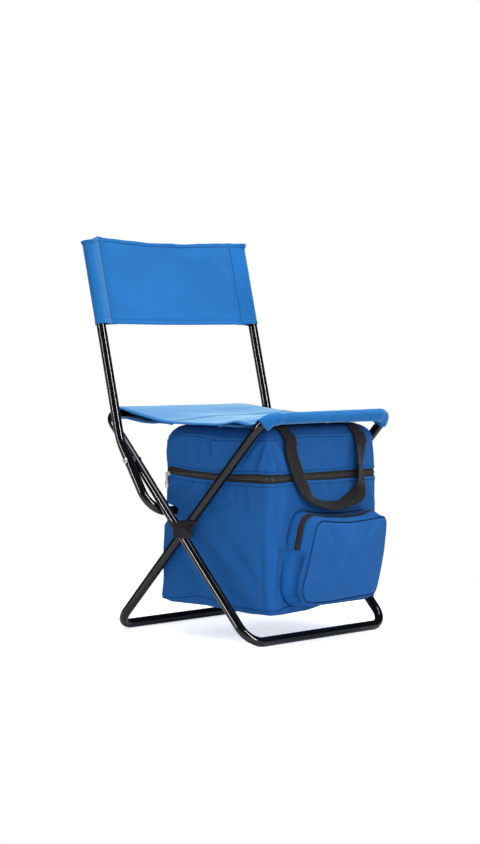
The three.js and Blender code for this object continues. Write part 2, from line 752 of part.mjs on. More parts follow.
// One outline of the bag, moved in by inset, counter-clockwise as seen from above
function bagOutline(z, inset) {
  const front = bagFrontAt(z) + inset;
  const rear = bagRearAt(z) - inset;
  const frontHalf = BAG_FRONT_HALF - inset;
  const rearHalf = BAG_REAR_HALF - inset;
  const r = Math.max(BAG_CORNER_R - inset, BAG_INNER_CORNER_R);
  const crossing = hump(z, PIVOT_HEIGHT - BAG_DENT_HALF_HEIGHT, PIVOT_HEIGHT + BAG_DENT_HALF_HEIGHT);
  const corners = [
    [frontHalf - r, front + r, -QUARTER_TURN],
    [rearHalf - r, rear - r, 0],
    [-rearHalf + r, rear - r, QUARTER_TURN],
    [-frontHalf + r, front + r, HALF_TURN],
  ];
  const points = [];
  corners.forEach(([x, y, from], i) => {
    const arc = arcPoints(new THREE.Vector2(x, y), r, from, from + QUARTER_TURN, CORNER_STEPS);
    points.push(...arc);
    const [nx, ny, nFrom] = corners[(i + 1) % corners.length];
    const start = arc[arc.length - 1];
    const end = new THREE.Vector2(nx + r * Math.cos(nFrom), ny + r * Math.sin(nFrom));
    const steps = i % 2 === 0 ? BAG_SIDE_STEPS : BAG_FRONT_STEPS;
    for (let k = 1; k < steps; k += 1) points.push(start.clone().lerp(end, k / steps));
  });
  return points.map((point) => {
    const pull = Math.abs(point.x) > frontHalf - r
      ? crossing * hump(point.y, -BAG_BULGE_HALF_DEPTH, BAG_BULGE_HALF_DEPTH) : 0;
    return new THREE.Vector3(point.x + Math.sign(point.x) * BAG_CROSSING_BULGE * pull, point.y, z);
  });
}

// Heights that follow the dent of the stop bar and the bulge at the crossing
function bagLevels(bottom, top) {
  const shares = [-1, -0.67, -0.34, 0, 0.34, 0.67, 1];
  const around = shares.map((share) => STOP_BAR_Z + BAG_DENT_HALF_HEIGHT * share);
  const below = [bottom, (bottom + around[0]) / 2];
  return [...below, ...around, top];
}

// The rounded bottom edge: pairs of rise and inset
function bottomEdge(bottom, inset) {
  return [
    [bottom, inset + BAG_EDGE_R],
    [bottom + BAG_EDGE_R * BAG_EDGE_SHARE, inset + BAG_EDGE_R * BAG_EDGE_SHARE],
    [bottom + BAG_EDGE_R, inset],
  ];
}

function bagWallRings(bottom, top, inset) {
  const edge = bottomEdge(bottom, inset);
  const walls = bagLevels(bottom + BAG_EDGE_R, top).slice(1).map((z) => [z, inset]);
  return [...edge, ...walls].map(([z, inward]) => bagOutline(z, inward));
}

function openBox(bottom, top, inset, wall) {
  const outer = bagWallRings(bottom, top, inset);
  const inner = bagWallRings(bottom + wall, top, inset + wall).reverse();
  return ringLoft([...outer, ...inner]);
}

const linerInset = BAG_WALL + RUNNING_GAP;
const linerBottom = BAG_BOTTOM + linerInset;

function bagShell() {
  return openBox(BAG_BOTTOM, BAG_RIM, 0, BAG_WALL);
}

function bagLiner() {
  return openBox(linerBottom, BAG_RIM - RUNNING_GAP, linerInset, LINER_T);
}

function baseBoard() {
  const bottom = linerBottom + LINER_T + RUNNING_GAP;
  const inset = linerInset + LINER_T + BAG_EDGE_R;
  return ringLoft([bottom, bottom + BASE_BOARD_T].map((z) => bagOutline(z, inset)));
}

// Lid: hollow from below, its top edge sloped all round

const lidRim = BAG_RIM + ZIP_BAND;

// The lid's sloped edge as shares of its rise and of its run inwards
const LID_SLOPE_SHARES = [
  [0, 0],
  [0.5, 0.2],
  [0.9, 0.5],
  [1, 1],
];

function lidRings(inset, edge, top) {
  const walls = [lidRim, (lidRim + edge) / 2].map((z) => bagOutline(z, inset));
  const slopes = LID_SLOPE_SHARES.map(([up, inward]) => bagOutline(
    edge + (top - edge) * up,
    inset + LID_SLOPE * inward,
  ));
  return [...walls, ...slopes];
}

function bagLid() {
  const outer = lidRings(0, LID_EDGE, LID_TOP);
  const inner = lidRings(BAG_WALL, LID_EDGE - BAG_WALL / 2, LID_TOP - BAG_WALL).reverse();
  return ringLoft([...inner, ...outer]);
}

function lidFoam() {
  const inset = BAG_WALL + RUNNING_GAP;
  const top = LID_TOP - BAG_WALL - RUNNING_GAP;
  const edge = LID_EDGE - BAG_WALL / 2 - RUNNING_GAP * 2;
  const outer = lidRings(inset, edge, top).slice(2);
  const flatZ = edge - LID_FOAM_T;
  const foot = bagOutline(flatZ, inset);
  return ringLoft([foot, ...outer]);
}

// The cloth strip between shell and lid along the rear, which is the lid's hinge
function hingeStrip() {
  const half = BAG_REAR_HALF - BAG_CORNER_R;
  const strip = new THREE.BoxGeometry(half * 2, HINGE_STRIP_T, ZIP_BAND - RUNNING_GAP * 2);
  strip.translate(0, BAG_REAR_Y - HINGE_STRIP_T / 2, BAG_RIM + ZIP_BAND / 2);
  return strip;
}

// Main zip: two tapes round three sides, each with half of the coil on its free edge

const bagMiddleY = (BAG_FRONT_Y + BAG_REAR_Y) / 2;
const zipMiddle = BAG_RIM + ZIP_BAND / 2;

// A band that follows the bag's two sides and its front, from its outer to its inner face
function threeSidedBand(outerInset, innerInset, bottom, top) {
  const stopShort = BAG_REAR_Y - BAG_CORNER_R;
  const outlineAt = (inset) => {
    const kept = bagOutline(BAG_RIM, inset).filter((point) => point.y <= stopShort);
    const start = kept.findIndex((point) => point.x < 0 && point.y > bagMiddleY);
    return [...kept.slice(start), ...kept.slice(0, start)];
  };
  const outer = outlineAt(outerInset);
  const inner = outlineAt(innerInset).reverse();
  const shape = new THREE.Shape([...outer, ...inner].map((point) => new THREE.Vector2(point.x, point.y)));
  const geometry = new THREE.ExtrudeGeometry(shape, { depth: top - bottom, bevelEnabled: false });
  geometry.translate(0, 0, bottom);
  return geometry;
}

function zipTape(upper) {
  const seat = RUNNING_GAP;
  const meet = RUNNING_GAP / 2;
  const [low, high] = upper ? [zipMiddle + meet, lidRim - seat] : [BAG_RIM + seat, zipMiddle - meet];
  const [coilLow, coilHigh] = upper ? [low, low + ZIP_COIL_W] : [high - ZIP_COIL_W, high];
  const tape = threeSidedBand(ZIP_INSET, ZIP_INSET + ZIP_TAPE_T, low, high);
  const coil = threeSidedBand(ZIP_INSET - ZIP_COIL_T, ZIP_INSET + ZIP_TAPE_T / 2, coilLow, coilHigh);
  return join(tape, coil);
}

// Zip hardware, drawn with its track along +Z, its face towards +Y and its middle at the origin

// The plate's nose and shoulders, and the bridge's feet and bends, as shares of the sizes they belong to
const PLATE_NOSE_SHARE = 0.32;
const PLATE_SHOULDER_SHARE = 0.1;
const BRIDGE_REACH_SHARE = 0.36;
const BRIDGE_TOP_SHARE = 0.3;
const BRIDGE_OUTER_BEND_SHARE = 0.6;
const BRIDGE_INNER_BEND_SHARE = 0.5;

function sliderPlate(share) {
  const halfLength = (SLIDER_LENGTH * share) / 2;
  const halfWidth = (SLIDER_WIDTH * share) / 2;
  const nose = SLIDER_WIDTH * share * PLATE_NOSE_SHARE;
  const shoulder = SLIDER_LENGTH * share * PLATE_SHOULDER_SHARE;
  const body = new THREE.Shape();
  body.moveTo(-nose, -halfLength);
  body.lineTo(nose, -halfLength);
  body.lineTo(halfWidth, shoulder);
  body.quadraticCurveTo(halfWidth, halfLength, 0, halfLength);
  body.quadraticCurveTo(-halfWidth, halfLength, -halfWidth, shoulder);
  body.closePath();
  return new THREE.ExtrudeGeometry(body, {
    depth: SLIDER_T * share,
    bevelEnabled: false,
    curveSegments: SLIDER_CURVE_STEPS,
  });
}

function sliderBridge(share) {
  const rise = SLIDER_BRIDGE_RISE * share;
  const thick = SLIDER_BRIDGE_T * share;
  const span = SLIDER_LENGTH * share * BRIDGE_REACH_SHARE;
  const top = span * BRIDGE_TOP_SHARE;
  const outerBend = rise * BRIDGE_OUTER_BEND_SHARE;
  const innerBend = rise * BRIDGE_INNER_BEND_SHARE;
  const arch = new THREE.Shape();
  arch.moveTo(-span, -thick);
  arch.lineTo(-span, outerBend);
  arch.quadraticCurveTo(-span, rise + thick, -top, rise + thick);
  arch.lineTo(top, rise + thick);
  arch.quadraticCurveTo(span, rise + thick, span, outerBend);
  arch.lineTo(span, -thick);
  arch.lineTo(span - thick, -thick);
  arch.lineTo(span - thick, innerBend);
  arch.quadraticCurveTo(span - thick, rise, top, rise);
  arch.lineTo(-top, rise);
  arch.quadraticCurveTo(-span + thick, rise, -span + thick, innerBend);
  arch.lineTo(-span + thick, -thick);
  arch.closePath();
  const bridge = new THREE.ExtrudeGeometry(arch, {
    depth: thick * 2,
    bevelEnabled: false,
    curveSegments: SLIDER_CURVE_STEPS,
  });
  bridge.translate(0, 0, -thick);
  placeOnAxes(bridge, Y_AXIS, Z_AXIS, X_AXIS);
  bridge.translate(0, 0, SLIDER_T * share);
  return bridge;
}

function zipSlider(share) {
  return join(sliderPlate(share), sliderBridge(share));
}

// The pull's half widths with their distances below its eye, and its window, as shares of width and length
const PULL_HEAD_SHARE = 0.34;
const PULL_CROWN_SHARE = 2.2;
const PULL_WAIST_SHARES = [0.3, 0.35];
const PULL_HIP_SHARES = [0.5, 0.6];
const PULL_BELLY_SHARES = [0.5, 0.76];
const PULL_WINDOW_SHARES = [0.26, 0.13, 0.72];

// A teardrop pull with an eye at its top for the bridge and an oval window near its foot
function zipPull(share) {
  const length = PULL_LENGTH * share;
  const width = PULL_WIDTH * share;
  const eyeR = width * PULL_EYE_SHARE;
  const head = width * PULL_HEAD_SHARE;
  const foot = eyeR - length;
  const [waist, hip, belly] = [PULL_WAIST_SHARES, PULL_HIP_SHARES, PULL_BELLY_SHARES]
    .map(([across, down]) => new THREE.Vector2(width * across, -length * down));
  const outline = new THREE.Shape();
  outline.moveTo(-head, eyeR);
  outline.quadraticCurveTo(0, eyeR * PULL_CROWN_SHARE, head, eyeR);
  outline.lineTo(waist.x, waist.y);
  outline.quadraticCurveTo(hip.x, hip.y, belly.x, belly.y);
  outline.quadraticCurveTo(belly.x, foot, 0, foot);
  outline.quadraticCurveTo(-belly.x, foot, -belly.x, belly.y);
  outline.quadraticCurveTo(-hip.x, hip.y, -waist.x, waist.y);
  outline.closePath();
  const eye = new THREE.Path();
  eye.absellipse(0, 0, eyeR * PULL_EYE_WIDTH_SHARE, eyeR, 0, FULL_TURN);
  const [windowHalfWidth, windowHalfLength, windowDown] = PULL_WINDOW_SHARES;
  const opening = new THREE.Path();
  opening.absellipse(0, -length * windowDown, width * windowHalfWidth, length * windowHalfLength, 0, FULL_TURN);
  outline.holes = [eye, opening];
  const geometry = new THREE.ExtrudeGeometry(outline, {
    depth: PULL_T * share,
    bevelEnabled: false,
    curveSegments: PULL_CURVE_STEPS,
  });
  geometry.translate(0, 0, (-PULL_T * share) / 2);
  return geometry;
}

// Where a pull's eye hangs on a slider's bridge: out from the plate, along the track and down
function pullPlace(share) {
  const out = (SLIDER_T + SLIDER_BRIDGE_RISE / 2) * share;
  const along = (SLIDER_LENGTH * BRIDGE_REACH_SHARE - SLIDER_BRIDGE_T / 2) * share;
  const down = (SLIDER_BRIDGE_T + RUNNING_GAP - PULL_WIDTH * PULL_EYE_SHARE) * share;
  return new THREE.Vector3(out, along, down);
}

// Front pocket: a soft tray with its open side against the bag

// Corner points of the pocket's face as shares of its half width and height, and their radii
const POCKET_CORNER_SHARES = [
  [0.9, 0, 0.26],
  [1, 1, 0.14],
  [-0.66, 0.97, 0.28],
  [-1, 0, 0.18],
];

function pocketOutline(inset) {
  const height = POCKET_TOP - POCKET_BOTTOM;
  const corners = POCKET_CORNER_SHARES.map(([across, up, round]) => ({
    point: new THREE.Vector3(
      across * POCKET_HALF_WIDTH - Math.sign(across) * inset,
      0,
      POCKET_BOTTOM + up * height + (up > 0 ? -inset : inset),
    ),
    radius: Math.max(round * height - inset, inset / 2),
  }));
  const arcs = corners.map(({ point, radius }, i) => {
    const before = corners[(i + corners.length - 1) % corners.length].point;
    const after = corners[(i + 1) % corners.length].point;
    return bendStations(before, point, after, radius, BEND_STEPS).map((station) => station.point);
  });
  return arcs.flatMap((arc, i) => {
    const start = arc[arc.length - 1];
    const end = arcs[(i + 1) % arcs.length][0];
    const crosses = (start.z - POCKET_ZIP_END) * (end.z - POCKET_ZIP_END) < 0;
    const share = (POCKET_ZIP_END - start.z) / (end.z - start.z);
    return crosses ? [...arc, start.clone().lerp(end, share)] : arc;
  });
}

// One ring of the pocket at a depth in front of the bag, sunk where the zip tape lies
function pocketRing(depth, inset, sunk) {
  const plain = pocketOutline(inset);
  const deep = pocketOutline(inset + POCKET_ZIP_SINK);
  return plain.map((point, i) => {
    const chosen = sunk && point.z > POCKET_ZIP_END - RUNNING_GAP ? deep[i] : point;
    return new THREE.Vector3(chosen.x, BAG_FRONT_Y - RUNNING_GAP - depth, chosen.z);
  });
}

// The soft front edge: how far back and how far in each ring lies, as shares of POCKET_FRONT_INSET
const POCKET_EDGE_SHARES = [
  [1, 0.15],
  [0.3, 0.5],
  [0, 2],
];
const POCKET_LINING_SHARE = 0.3;

function pocketShell() {
  const zipFrom = POCKET_ZIP_NEAR;
  const zipTo = POCKET_ZIP_NEAR + POCKET_ZIP_W;
  const edge = POCKET_FRONT_INSET;
  const outer = [
    pocketRing(0, 0, false),
    pocketRing(zipFrom, 0, false),
    pocketRing(zipFrom, 0, true),
    pocketRing(zipTo, 0, true),
    pocketRing(zipTo, 0, false),
    ...POCKET_EDGE_SHARES.map(([back, inward]) => pocketRing(POCKET_DEPTH - edge * back, edge * inward, false)),
  ];
  const wall = POCKET_WALL + POCKET_ZIP_SINK;
  const inner = [
    pocketRing(POCKET_DEPTH - POCKET_WALL, edge * 2 + wall, false),
    pocketRing(POCKET_DEPTH - edge, wall + edge * POCKET_LINING_SHARE, false),
    pocketRing(0, wall, false),
  ];
  return ringLoft([...inner, ...outer]);
}

function pocketZipTape() {
  const zipFrom = POCKET_ZIP_NEAR + RUNNING_GAP;
  const width = POCKET_ZIP_W - RUNNING_GAP * 2;
  const arcOf = (inset) => {
    const points = pocketOutline(inset).filter((point) => point.z > POCKET_ZIP_END - RUNNING_GAP);
    return points.map((point) => new THREE.Vector2(point.x, point.z));
  };
  const outer = arcOf(RUNNING_GAP);
  const inner = arcOf(POCKET_ZIP_SINK - RUNNING_GAP / 2).reverse();
  const shape = new THREE.Shape([...outer, ...inner]);
  const geometry = new THREE.ExtrudeGeometry(shape, { depth: width, bevelEnabled: false });
  placeOnAxes(geometry, X_AXIS, Z_AXIS, Y_AXIS.clone().negate());
  geometry.translate(0, BAG_FRONT_Y - RUNNING_GAP - zipFrom, 0);
  return geometry;
}

// Carry handle: a loop of webbing that hangs in front of the lid from two sewn tabs.
// Its ends are rolled, so that they turn below the tabs.

const strapY = bagFrontAt(LID_EDGE) - HANDLE_STANDOFF - LID_LEAN;
const handleTurnZ = LID_EDGE - TAB_DROP - HANDLE_JOINT_GAP - WEBBING_T / 2;

// The handle's hanging curve as shares of its half span and drop, from one tab to the other
const HANDLE_ROUTE_SHARES = [
  [-1, 0],
  [-0.97, 0.3],
  [-0.87, 0.62],
  [-0.63, 0.86],
  [-0.2, 1],
  [0.3, 1],
  [0.76, 0.9],
  [1.03, 0.66],
  [1.05, 0.34],
  [1, 0],
];

function carryHandle() {
  const half = WEBBING_W / 2;
  const drop = HANDLE_DROP - half;
  const route = new THREE.CatmullRomCurve3(HANDLE_ROUTE_SHARES.map(([across, down]) => new THREE.Vector3(
    across * HANDLE_HALF_SPAN, 0, handleTurnZ - down * drop,
  )));
  const edges = [-half, half].map((offset) => {
    const points = [];
    for (let i = 0; i <= HANDLE_STEPS; i += 1) {
      const at = route.getPointAt(i / HANDLE_STEPS);
      const along = route.getTangentAt(i / HANDLE_STEPS);
      const cutLevel = i === 0 || i === HANDLE_STEPS;
      const inward = cutLevel ? new THREE.Vector2(-Math.sign(at.x), 0) : new THREE.Vector2(-along.z, along.x);
      points.push(new THREE.Vector2(at.x, at.z).addScaledVector(inward, offset));
    }
    return points;
  });
  const shape = new THREE.Shape([...edges[0], ...edges[1].reverse()]);
  const geometry = new THREE.ExtrudeGeometry(shape, { depth: WEBBING_T, bevelEnabled: false });
  placeOnAxes(geometry, X_AXIS, Z_AXIS, Y_AXIS.clone().negate());
  geometry.translate(0, strapY + WEBBING_T / 2, 0);
  const rolledEnds = [-1, 1].map((side) => {
    const middle = side * HANDLE_HALF_SPAN;
    return crossCylinder(WEBBING_T / 2, middle - half, middle + half, strapY, handleTurnZ);
  });
  return join(geometry, ...rolledEnds);
}

// A tab sewn on the lid's sloped edge, which turns down in front of it to the handle
function handleTab(side) {
  const sewn = LID_SLOPE_SHARES.slice(0, -1).reverse().map(([up, inward]) => {
    const z = LID_EDGE + (LID_TOP - LID_EDGE) * up;
    return new THREE.Vector2(bagFrontAt(z) + LID_SLOPE * inward, z);
  });
  const lift = RUNNING_GAP + WEBBING_T / 2;
  const onLid = offsetLine(sewn, lift);
  const middle = [
    ...onLid,
    new THREE.Vector2(strapY, LID_EDGE - TAB_FALL),
    new THREE.Vector2(strapY, LID_EDGE - TAB_DROP),
  ];
  const half = WEBBING_T / 2;
  const shape = new THREE.Shape([...offsetLine(middle, -half), ...offsetLine(middle, half).reverse()]);
  const geometry = new THREE.ExtrudeGeometry(shape, { depth: WEBBING_W, bevelEnabled: false });
  placeOnAxes(geometry, Y_AXIS, Z_AXIS, X_AXIS);
  geometry.translate(side * HANDLE_HALF_SPAN - WEBBING_W / 2, 0, 0);
  return geometry;
}

// A line of points moved sideways, to the right of its direction of travel, with mitred corners
function offsetLine(points, distance) {
  return points.map((point, i) => {
    const into = point.clone().sub(points[Math.max(0, i - 1)]).normalize();
    const out = points[Math.min(points.length - 1, i + 1)].clone().sub(point).normalize();
    if (i === 0) into.copy(out);
    if (i === points.length - 1) out.copy(into);
    const along = into.clone().add(out).normalize();
    const reach = distance / along.dot(into);
    return new THREE.Vector2(point.x + along.y * reach, point.y - along.x * reach);
  });
}

// Assembly

const stool = new THREE.Group();

function add(name, geometry, material, parent = stool) {
  const mesh = new THREE.Mesh(geometry, material);
  mesh.name = name;
  parent.add(mesh);
  return mesh;
}

const outerGroup = new THREE.Group();
outerGroup.position.set(0, 0, PIVOT_HEIGHT);
outerGroup.rotation.x = -OUTER_LEAN;
stool.add(outerGroup);
add('outer_leg_frame', outerLegFrame(), painted(BLACK_PAINT), outerGroup);

const innerGroup = new THREE.Group();
innerGroup.position.set(0, 0, PIVOT_HEIGHT);
innerGroup.rotation.x = INNER_LEAN;
stool.add(innerGroup);
add('inner_leg_frame', innerLegFrame(), painted(BLACK_PAINT), innerGroup);

const backGroup = new THREE.Group();
backGroup.position.set(0, BACK_PIVOT_Y, BACK_PIVOT_HEIGHT);
stool.add(backGroup);
add('backrest_frame', backFrame(), painted(BLACK_PAINT), backGroup);
add('back_panel', backPanel(), cloth(SEAT_BLUE), backGroup);

for (const [hand, side] of [['left', 1], ['right', -1]]) {
  add(`leg_rivet_${hand}`, stackRivet(side, INNER_HALF_WIDTH, 0, PIVOT_HEIGHT), plated(STEEL_GREY));
  add(`leg_washer_${hand}`, stackWasher(side, INNER_HALF_WIDTH, 0, PIVOT_HEIGHT), plated(STEEL_GREY));
  add(`back_rivet_${hand}`, stackRivet(side, OUTER_HALF_WIDTH, 0, 0), plated(STEEL_GREY), backGroup);
  add(`back_washer_${hand}`, stackWasher(side, OUTER_HALF_WIDTH, 0, 0), plated(STEEL_GREY), backGroup);
  add(`back_tube_plug_${hand}`, backPlug(side), painted(PLUG_BLACK), backGroup);
  add(`crossing_band_${hand}`, crossingBand(side), cloth(WEBBING_BLACK));
  add(`handle_tab_${hand}`, handleTab(side), cloth(WEBBING_BLACK));
}

add('seat_panel', seatPanel(), cloth(SEAT_BLUE));
add('bag_shell', bagShell(), cloth(BAG_BLUE));
add('bag_liner', bagLiner(), cloth(FOIL_GREY));
add('bag_base_board', baseBoard(), cloth(BOARD_GREY));
add('bag_lid', bagLid(), cloth(BAG_BLUE));
add('lid_foam', lidFoam(), cloth(FOIL_GREY));
add('lid_hinge_strip', hingeStrip(), cloth(BAG_BLUE));
add('main_zip_lower_tape', zipTape(false), cloth(ZIP_BLACK));
add('main_zip_upper_tape', zipTape(true), cloth(ZIP_BLACK));
add('pocket_shell', pocketShell(), cloth(BAG_BLUE));
add('pocket_zip_tape', pocketZipTape(), cloth(ZIP_BLACK));
add('carry_handle', carryHandle(), cloth(WEBBING_BLACK));

// The main slider stands at the rear end of the near side, its track level and its face outwards
const mainZip = new THREE.Group();
const sideSlope = Math.atan2(BAG_REAR_HALF - BAG_FRONT_HALF, BAG_REAR_Y - BAG_FRONT_Y - BAG_CORNER_R * 2);
const sliderY = BAG_REAR_Y - BAG_CORNER_R;
const coilFace = ZIP_COIL_T - ZIP_INSET + RUNNING_GAP * 2;
mainZip.position.set(-BAG_REAR_HALF - coilFace, sliderY, zipMiddle);
mainZip.rotation.z = -sideSlope;
stool.add(mainZip);
const mainSlider = add('main_zip_slider', zipSlider(1), plated(NICKEL), mainZip);
mainSlider.quaternion.setFromRotationMatrix(new THREE.Matrix4().makeBasis(
  Z_AXIS, Y_AXIS, X_AXIS.clone().negate(),
));
const mainPull = add('main_zip_pull', zipPull(1), plated(NICKEL), mainZip);
mainPull.quaternion.setFromRotationMatrix(new THREE.Matrix4().makeBasis(Y_AXIS, Z_AXIS, X_AXIS));
mainPull.position.copy(pullPlace(1)).multiply(new THREE.Vector3(-1, 1, 1));

// The pocket slider stands at the foot of its zip on the far side, its pull hanging from it
const pocketZip = new THREE.Group();
const [[footShare], [topShare]] = POCKET_CORNER_SHARES;
const pocketSlope = Math.atan2((footShare - topShare) * POCKET_HALF_WIDTH, POCKET_TOP - POCKET_BOTTOM);
const pocketSliderZ = POCKET_ZIP_END + SLIDER_LENGTH * SMALL_ZIP_SHARE;
const pocketSliderX = footShare * POCKET_HALF_WIDTH - (pocketSliderZ - POCKET_BOTTOM) * Math.tan(pocketSlope);
pocketZip.position.set(
  pocketSliderX + RUNNING_GAP * 2,
  BAG_FRONT_Y - RUNNING_GAP - POCKET_ZIP_NEAR - POCKET_ZIP_W / 2,
  pocketSliderZ,
);
pocketZip.rotation.y = -pocketSlope;
stool.add(pocketZip);
const pocketSlider = add('pocket_zip_slider', zipSlider(SMALL_ZIP_SHARE), plated(NICKEL), pocketZip);
pocketSlider.quaternion.setFromRotationMatrix(new THREE.Matrix4().makeBasis(Y_AXIS, Z_AXIS, X_AXIS));
const pocketPull = add('pocket_zip_pull', zipPull(SMALL_ZIP_SHARE), plated(NICKEL), pocketZip);
pocketPull.quaternion.setFromRotationMatrix(new THREE.Matrix4().makeBasis(Y_AXIS, Z_AXIS, X_AXIS));
const turned = pullPlace(SMALL_ZIP_SHARE);
pocketPull.position.set(turned.x, 0, turned.z / 2 - turned.y);

export default stool;
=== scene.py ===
import math

import bpy
import numpy as np
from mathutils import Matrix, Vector, noise


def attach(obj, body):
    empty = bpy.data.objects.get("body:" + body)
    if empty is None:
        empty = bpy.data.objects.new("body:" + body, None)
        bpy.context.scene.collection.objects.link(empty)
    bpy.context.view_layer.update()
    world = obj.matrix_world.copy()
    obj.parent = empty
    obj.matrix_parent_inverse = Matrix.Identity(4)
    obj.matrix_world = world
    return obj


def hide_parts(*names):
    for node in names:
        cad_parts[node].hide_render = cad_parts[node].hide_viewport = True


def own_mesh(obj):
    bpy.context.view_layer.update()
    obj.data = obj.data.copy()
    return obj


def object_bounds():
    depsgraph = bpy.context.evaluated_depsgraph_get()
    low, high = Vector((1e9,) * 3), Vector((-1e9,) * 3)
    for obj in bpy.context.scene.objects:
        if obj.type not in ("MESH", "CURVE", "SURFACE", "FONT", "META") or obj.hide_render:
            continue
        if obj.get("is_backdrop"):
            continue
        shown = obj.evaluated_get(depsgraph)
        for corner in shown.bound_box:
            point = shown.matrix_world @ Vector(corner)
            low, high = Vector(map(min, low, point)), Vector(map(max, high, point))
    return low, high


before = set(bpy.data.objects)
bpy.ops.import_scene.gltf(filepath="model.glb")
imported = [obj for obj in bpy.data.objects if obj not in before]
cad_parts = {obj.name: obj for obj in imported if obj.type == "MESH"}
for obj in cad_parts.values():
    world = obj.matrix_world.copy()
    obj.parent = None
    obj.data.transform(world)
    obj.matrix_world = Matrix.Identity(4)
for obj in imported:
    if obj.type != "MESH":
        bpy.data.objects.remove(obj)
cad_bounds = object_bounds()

# Studio: the stool stands on a white floor under even daylight, seen from its right front.
# The backdrop and the floor are plain white, and only the floor's soft shadow shows.
scene = bpy.context.scene
scene.view_settings.view_transform = "Standard"

camera_data = bpy.data.cameras.new("camera")
camera_data.lens = 92.49
camera = bpy.data.objects.new("camera", camera_data)
camera.location = (-2.7421, -2.5226, 0.5096)
camera.rotation_euler = Vector((0.7323, 0.6797, -0.0407)).to_track_quat("-Z", "Y").to_euler()
scene.collection.objects.link(camera)
scene.camera = camera


def node(tree, kind, inputs=None, **settings):
    """A shader node with its settings, its inputs given as numbers or as other nodes' outputs."""
    made = tree.nodes.new("ShaderNode" + kind)
    for key, value in settings.items():
        setattr(made, key, value)
    for key, value in (inputs or {}).items():
        if isinstance(value, bpy.types.NodeSocket):
            tree.links.new(value, made.inputs[key])
        else:
            made.inputs[key].default_value = value
    return made


world = bpy.data.worlds.new("daylight")
world.use_nodes = True
world.node_tree.nodes.clear()
sky = world.node_tree
ray = node(sky, "LightPath")
backdrop = node(sky, "Background", {"Color": (1, 1, 1, 1), "Strength": 1.0})
ambient = node(sky, "Background", {"Color": (0.96, 0.98, 1, 1), "Strength": 0.64})
mirrored = node(sky, "Background", {"Color": (1, 1, 1, 1), "Strength": 0.035})
unseen = node(sky, "MixShader", {0: ray.outputs["Is Glossy Ray"], 1: ambient.outputs[0], 2: mirrored.outputs[0]})
shown = node(sky, "MixShader", {0: ray.outputs["Is Camera Ray"], 1: unseen.outputs[0], 2: backdrop.outputs[0]})
node(sky, "OutputWorld", {"Surface": shown.outputs[0]})
scene.world = world

# Each light: its name, place, aim, size in metres, watts, and the kind of ray that doesn't see it.
LIGHTS = [
    ("overhead", (-0.1, -0.3, 2.2), (0, 0, 0.3), (1.3, 1.3), 44, ""),
    ("front_soft", (-1.2, -2.4, 1.3), (0, 0, 0.3), (1.2, 2.0), 24, "visible_glossy"),
    ("front_strip", (0.05, -2.6, 1.3), (0, 0, 0.3), (0.24, 2.2), 150, "visible_diffuse"),
    ("near_strip", (-2.6, 0.8, 1.3), (0, 0, 0.3), (0.2, 2.2), 80, "visible_diffuse"),
]
for label, place, target, size, power, unseen_by in LIGHTS:
    lamp = bpy.data.lights.new(label, "AREA")
    lamp.shape = "RECTANGLE"
    lamp.size, lamp.size_y = size
    lamp.energy = power
    stand = bpy.data.objects.new(label, lamp)
    stand.location = place
    stand.rotation_euler = (Vector(target) - Vector(place)).to_track_quat("-Z", "Y").to_euler()
    if unseen_by:
        setattr(stand, unseen_by, False)
    scene.collection.objects.link(stand)

floor_mesh = bpy.data.meshes.new("floor")
floor_mesh.from_pydata([(-9, -9, 0), (9, -9, 0), (9, 9, 0), (-9, 9, 0)], [], [(0, 1, 2, 3)])
floor = bpy.data.objects.new("floor", floor_mesh)
scene.collection.objects.link(floor)
floor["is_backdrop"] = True
floor_paper = bpy.data.materials.new("floor_paper")
floor_paper.use_nodes = True
paper = floor_paper.node_tree
paper_face = paper.nodes["Principled BSDF"]
paper_face.inputs["Base Color"].default_value = (0.97, 0.975, 1, 1)
paper_face.inputs["Roughness"].default_value = 0.9
paper_face.inputs["Specular IOR Level"].default_value = 0.0
floor_spot = node(paper, "TexCoord").outputs["Object"]
from_stool = node(paper, "VectorMath", {0: floor_spot, 1: (0.02, 0.0, 0)}, operation="DISTANCE").outputs["Value"]
fading = node(paper, "MapRange", {
    "Value": from_stool, "From Min": 0.34, "From Max": 0.62, "To Min": 0.0, "To Max": 1.0,
}, interpolation_type="SMOOTHSTEP").outputs["Result"]
seen = node(paper, "LightPath").outputs["Is Camera Ray"]
bright = node(paper, "Emission", {"Color": (1, 1, 1, 1), "Strength": 1.0})
whitened = node(paper, "Math", {0: fading, 1: seen}, operation="MULTIPLY").outputs[0]
lifted = node(paper, "Emission", {"Color": (0.95, 0.96, 1, 1), "Strength": 0.63})
near_face = node(paper, "AddShader", {0: paper_face.outputs[0], 1: lifted.outputs[0]})
near_seen = node(paper, "MixShader", {0: seen, 1: paper_face.outputs[0], 2: near_face.outputs[0]})
whole_floor = node(paper, "MixShader", {0: whitened, 1: near_seen.outputs[0], 2: bright.outputs[0]})
paper.links.new(whole_floor.outputs[0], paper.nodes["Material Output"].inputs["Surface"])
floor_mesh.materials.append(floor_paper)

